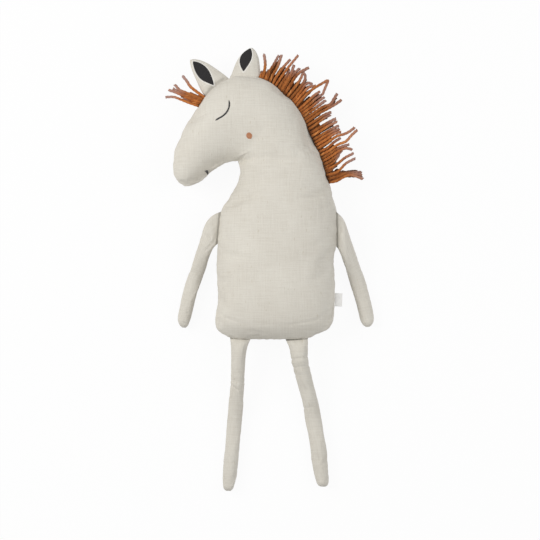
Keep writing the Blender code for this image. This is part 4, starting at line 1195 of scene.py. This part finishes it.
def make_yarns(yarns, bundle_of, seed, layers, droop, light=1.0, crowded_light=0.70, bleached=0.75):
    """The yarns on top, and layers of shorter ones between and under them."""
    draw = random.Random(seed)
    plans = [chain(yarn, YARN_POINTS, YARN_LEVEL) for yarn in yarns]
    last = None
    for plan in plans:
        crowded = last is not None and np.linalg.norm(plan[0] - last) < CROWDED
        last = None if crowded else plan[0]
        # Painted shade: a yarn crowded against the one before lies lower and is drawn darker
        lift, shade = (draw.uniform(1.6, 2.6), crowded_light) if crowded else (draw.uniform(3.2, 5.0), light)
        sink = droop * draw.uniform(0.5, 0.9)
        thick = YARN_RADIUS * draw.uniform(1.04, 1.26)
        bundle_of(plan[0]).strand(laid(plan, lift * MM, sink), thick, draw, shade, bleached)
    for lift, low, high, swing, shade in layers:
        for a, b in zip(plans, plans[1:]):
            for u in (draw.uniform(0.2, 0.45), draw.uniform(0.55, 0.8)):
                blend = a * (1 - u) + b * u
                length = np.linalg.norm(np.diff(blend, axis=0), axis=1).sum()
                wide = np.flatnonzero(np.linalg.norm(a - b, axis=1) > PARTED)
                parted = wide[0] / len(a) if len(wide) else 1.0
                share = min(draw.uniform(low, high), UNDER_LONGEST / length)
                share = min(share, max(parted * draw.uniform(0.9, 1.1), 0.42))
                plan = shortened(blend, share, math.radians(draw.uniform(-swing, swing)))
                path = laid(plan, lift * MM * draw.uniform(0.8, 1.2), droop * draw.uniform(0.7, 1.1))
                path = before_gap(path)
                if len(path) > 5:
                    bundle_of(plan[0]).strand(path, YARN_RADIUS * draw.uniform(0.90, 1.03), draw, shade)


def make_mane():
    slices = [Threads() for _ in range(SLICES)]
    span = MANE_END - MANE_LOW

    def slice_of(root):
        share = (CREST.nearest(root) - MANE_LOW) / span
        return slices[int(np.clip(share * SLICES, 0, SLICES - 1))]

    make_yarns(MANE_YARNS, slice_of, 17, MANE_LAYERS, MANE_DROOP)
    for number, threads in enumerate(slices):
        start, end = (MANE_LOW + span * k / SLICES for k in (number, number + 1))
        threads.tape(start, end - SLICE_GAP)
        threads.piece(f"mane_yarn_{number + 1}", f"mane_{number + 1}", "rust_yarn", YARN)


def make_forelock():
    threads = Threads()
    make_yarns(FORELOCK_YARNS, lambda root: threads, 5, FORELOCK_LAYERS, FORELOCK_DROOP, 1.25, 1.0, 1.0)
    threads.tape(FORELOCK, FORELOCK_END)
    threads.piece("forelock_yarn", "forelock", "rust_yarn", YARN)


make_mane()
make_forelock()


# Embroidery

THREAD = 0.36 * MM
STITCH_RINGS, STITCH_SIDES = 7, 6
EYE_LEVEL, CHEEK_LEVEL, NOSTRIL_LEVEL = 79 * MM, 80 * MM, 58 * MM
EYE_STITCHES, CHEEK_STITCHES, NOSTRIL_STITCHES = 80, 19, 28
EYE_HALF, CHEEK_RADIUS, CHEEK_TURN = 1.5 * MM, 5.1 * MM, 0.5
CHEEK_PX = (249.2, 135.7)
EYE_SLANT, NOSTRIL_MORE = 0.5 * MM, 0.3 * MM
EYE_LIFT, CHEEK_LIFT, NOSTRIL_LIFT = 0.55 * MM, 0.9 * MM, 0.5 * MM
EYE_LINE = (
    2291, 1007, 2294, 1037, 2291, 1069, 2280, 1100, 2262, 1129, 2238, 1153, 2209, 1173, 2182, 1188, 2157,
    1203,
)
NOSTRIL_LINE = (2057, 1712, 2066, 1707, 2074, 1713, 2078, 1726, 2076, 1744)
NOSTRIL_WIDTHS = (1.2, 2.7, 3.0, 2.2, 1.0)


def square_to(way):
    return np.array((-way[1], way[0]))


def make_eye():
    """The closed eye: satin stitches across the curve."""
    draw = random.Random(2)
    eye = Threads()
    line = smooth_rows(places_on(EYE_LINE, EYE_LEVEL))
    places = distances(line)
    for i in range(EYE_STITCHES + 1):
        share = i / EYE_STITCHES
        spot, ahead, behind = (points_at(line, places, share * places[-1] + off) for off in (0, MM, -MM))
        along = (ahead - behind) / np.linalg.norm(ahead - behind)
        half = EYE_HALF * min(1.0, 0.5 + 6 * share, 0.5 + 6 * (1 - share)) * draw.uniform(0.93, 1.07)
        eye.stitch(spot, square_to(along) * half + along * EYE_SLANT, EYE_LIFT)
    eye.piece("eye_satin_stitch", "eye_stitching", "black_thread", BLACK)


def make_cheek():
    """The cheek dot: satin stitches that fill a disc."""
    draw = random.Random(4)
    dot = Threads()
    way = np.array((math.cos(CHEEK_TURN), math.sin(CHEEK_TURN)))
    for i in range(CHEEK_STITCHES):
        off = CHEEK_RADIUS * (-0.95 + 1.90 * i / (CHEEK_STITCHES - 1))
        reach = way * (math.sqrt(CHEEK_RADIUS**2 - off**2) * draw.uniform(0.96, 1.03))
        dot.stitch(at(*CHEEK_PX, CHEEK_LEVEL) + square_to(way) * off, reach, CHEEK_LIFT)
    dot.piece("cheek_satin_stitch", "cheek_dot", "tan_thread", TAN)


def make_nostril():
    """The nostril: a short hook of satin stitches low on the muzzle."""
    hook = Threads()
    line = places_on(NOSTRIL_LINE, NOSTRIL_LEVEL)
    for place in np.linspace(0, len(line) - 1, NOSTRIL_STITCHES):
        k = min(int(place), len(line) - 2)
        t = place - k
        spot = line[k] * (1 - t) + line[k + 1] * t
        way = (line[k + 1] - line[k]) / np.linalg.norm(line[k + 1] - line[k])
        half = (NOSTRIL_WIDTHS[k] * (1 - t) + NOSTRIL_WIDTHS[k + 1] * t) * MM / 2 + NOSTRIL_MORE
        hook.stitch(spot, square_to(way) * half, NOSTRIL_LIFT)
    hook.piece("nostril_satin_stitch", "nostril_stitching", "black_thread", BLACK)


make_eye()
make_cheek()
make_nostril()


# Side label

LABEL_SHARE = 0.188
LABEL_HEIGHT, LABEL_DEPTH = 21 * MM, 11.5 * MM
LABEL_THICK, LABEL_HALF = 0.36 * MM, 0.7 * MM
LABEL_OUT, LABEL_IN = 1.0 * MM, 0.6 * MM
LABEL_CURL = 0.7 * MM
LABEL_ROWS = 16


def label_line():
    """The folded ribbon's section, from one cut end round the fold to the other."""
    line = []
    for k in range(13):
        t = k / 12
        rise = LABEL_HALF * (0.45 + 0.75 * math.sin(math.pi * t) ** 0.8)
        line.append((-LABEL_IN + (LABEL_DEPTH - LABEL_HALF) * t, rise))
    for k in range(1, 8):
        angle = math.pi / 2 - math.pi * k / 8
        out = LABEL_DEPTH - LABEL_HALF - LABEL_IN + LABEL_HALF * math.cos(angle) * 0.9
        line.append((out, LABEL_HALF * math.sin(angle) * 0.45))
    return np.array(line + [(x, -z) for x, z in reversed(line[:13])])


def make_label():
    """A blank ribbon folded in two, with its ends in the side seam."""
    low = TORSO[1] * (LABEL_SHARE - REST_SHARE)
    edge = ROWS[: NECK + 1, [BX, BY]]
    start, end = (np.array((np.interp(y, edge[:, 1], edge[:, 0]), y)) for y in (low, low + LABEL_HEIGHT))
    square = -square_to(end - start)
    square /= np.linalg.norm(square)
    start, end = start + square * LABEL_OUT, end + square * LABEL_OUT
    line = label_line()
    verts, cloth = [], []
    for side in (1, -1):
        for i in range(LABEL_ROWS + 1):
            t = i / LABEL_ROWS
            root = start + (end - start) * t
            for (x, z), way, place in zip(line, directions(line), distances(line)):
                u, w = np.array((x, z)) + square_to(way) * LABEL_THICK / 2 * side
                curl = LABEL_CURL * (t - 0.5) * (x / LABEL_DEPTH) ** 2
                verts.append((*(root + square * u), TORSO_LEVEL + w + curl))
                cloth.append((place, LABEL_HEIGHT * t, 0))
    piece = mesh_piece("blank_ribbon", verts, sheet_faces(LABEL_ROWS + 1, len(line)), RIBBON, cloth)
    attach(piece, "label")
    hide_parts("side_label")


make_label()


# Floor, lamps and sky

FLOOR_HALF = 6.0
FLOOR_LEVEL = -0.2 * MM
FLOOR_GLOW = 0.93
SKY_LIGHT = 0.45


def make_floor():
    look = Look("floor", Base_Color=(0.86, 0.86, 0.86, 1), Roughness=0.9, Specular_IOR_Level=0.1)
    white = look.node("ShaderNodeEmission", {"Color": (1, 1, 1, 1), "Strength": 1.0})
    share = look.math("MULTIPLY", look.seen(), FLOOR_GLOW)
    blend = look.node("ShaderNodeMixShader", {0: share, 1: look.shader.outputs[0], 2: white.outputs[0]})
    look.tree.links.new(blend.outputs[0], look.tree.nodes["Material Output"].inputs["Surface"])
    corners = [(x * FLOOR_HALF, y * FLOOR_HALF, 0) for x, y in ((-1, -1), (1, -1), (1, 1), (-1, 1))]
    floor = mesh_piece("floor", corners, [(0, 1, 2, 3)], look.material)
    floor.location.z = FLOOR_LEVEL


def make_lamp(name, place, size, energy, colour):
    """A round lamp that points at the model's origin."""
    light = bpy.data.lights.new(name, "AREA")
    light.shape = "DISK"
    light.size = size
    light.energy = energy
    light.color = colour
    made = bpy.data.objects.new(name, light)
    made.location = place
    made.rotation_mode = "QUATERNION"
    made.rotation_quaternion = (-Vector(place)).to_track_quat("-Z", "Y")
    bpy.context.scene.collection.objects.link(made)


def make_sky():
    sky = bpy.data.worlds.new("studio")
    bpy.context.scene.world = sky
    sky.use_nodes = True
    air = Nodes(sky.node_tree)
    back = air.tree.nodes["Background"]
    back.inputs["Color"].default_value = (1, 1, 1, 1)
    back.inputs["Strength"].default_value = SKY_LIGHT
    bright = air.node("ShaderNodeBackground", {"Strength": 1.0})
    both = air.node("ShaderNodeMixShader", {0: air.seen(), 1: back.outputs[0], 2: bright.outputs[0]})
    air.tree.links.new(both.outputs[0], air.tree.nodes["World Output"].inputs["Surface"])


make_floor()
make_lamp("key", (-1.7, 0.55, 1.75), 1.6, 32.0, (1.0, 0.992, 0.982))
make_lamp("fill", (1.5, 0.3, 1.9), 2.0, 18.0, (0.985, 0.99, 1.0))
make_sky()
bpy.context.scene.view_settings.view_transform = "Standard"
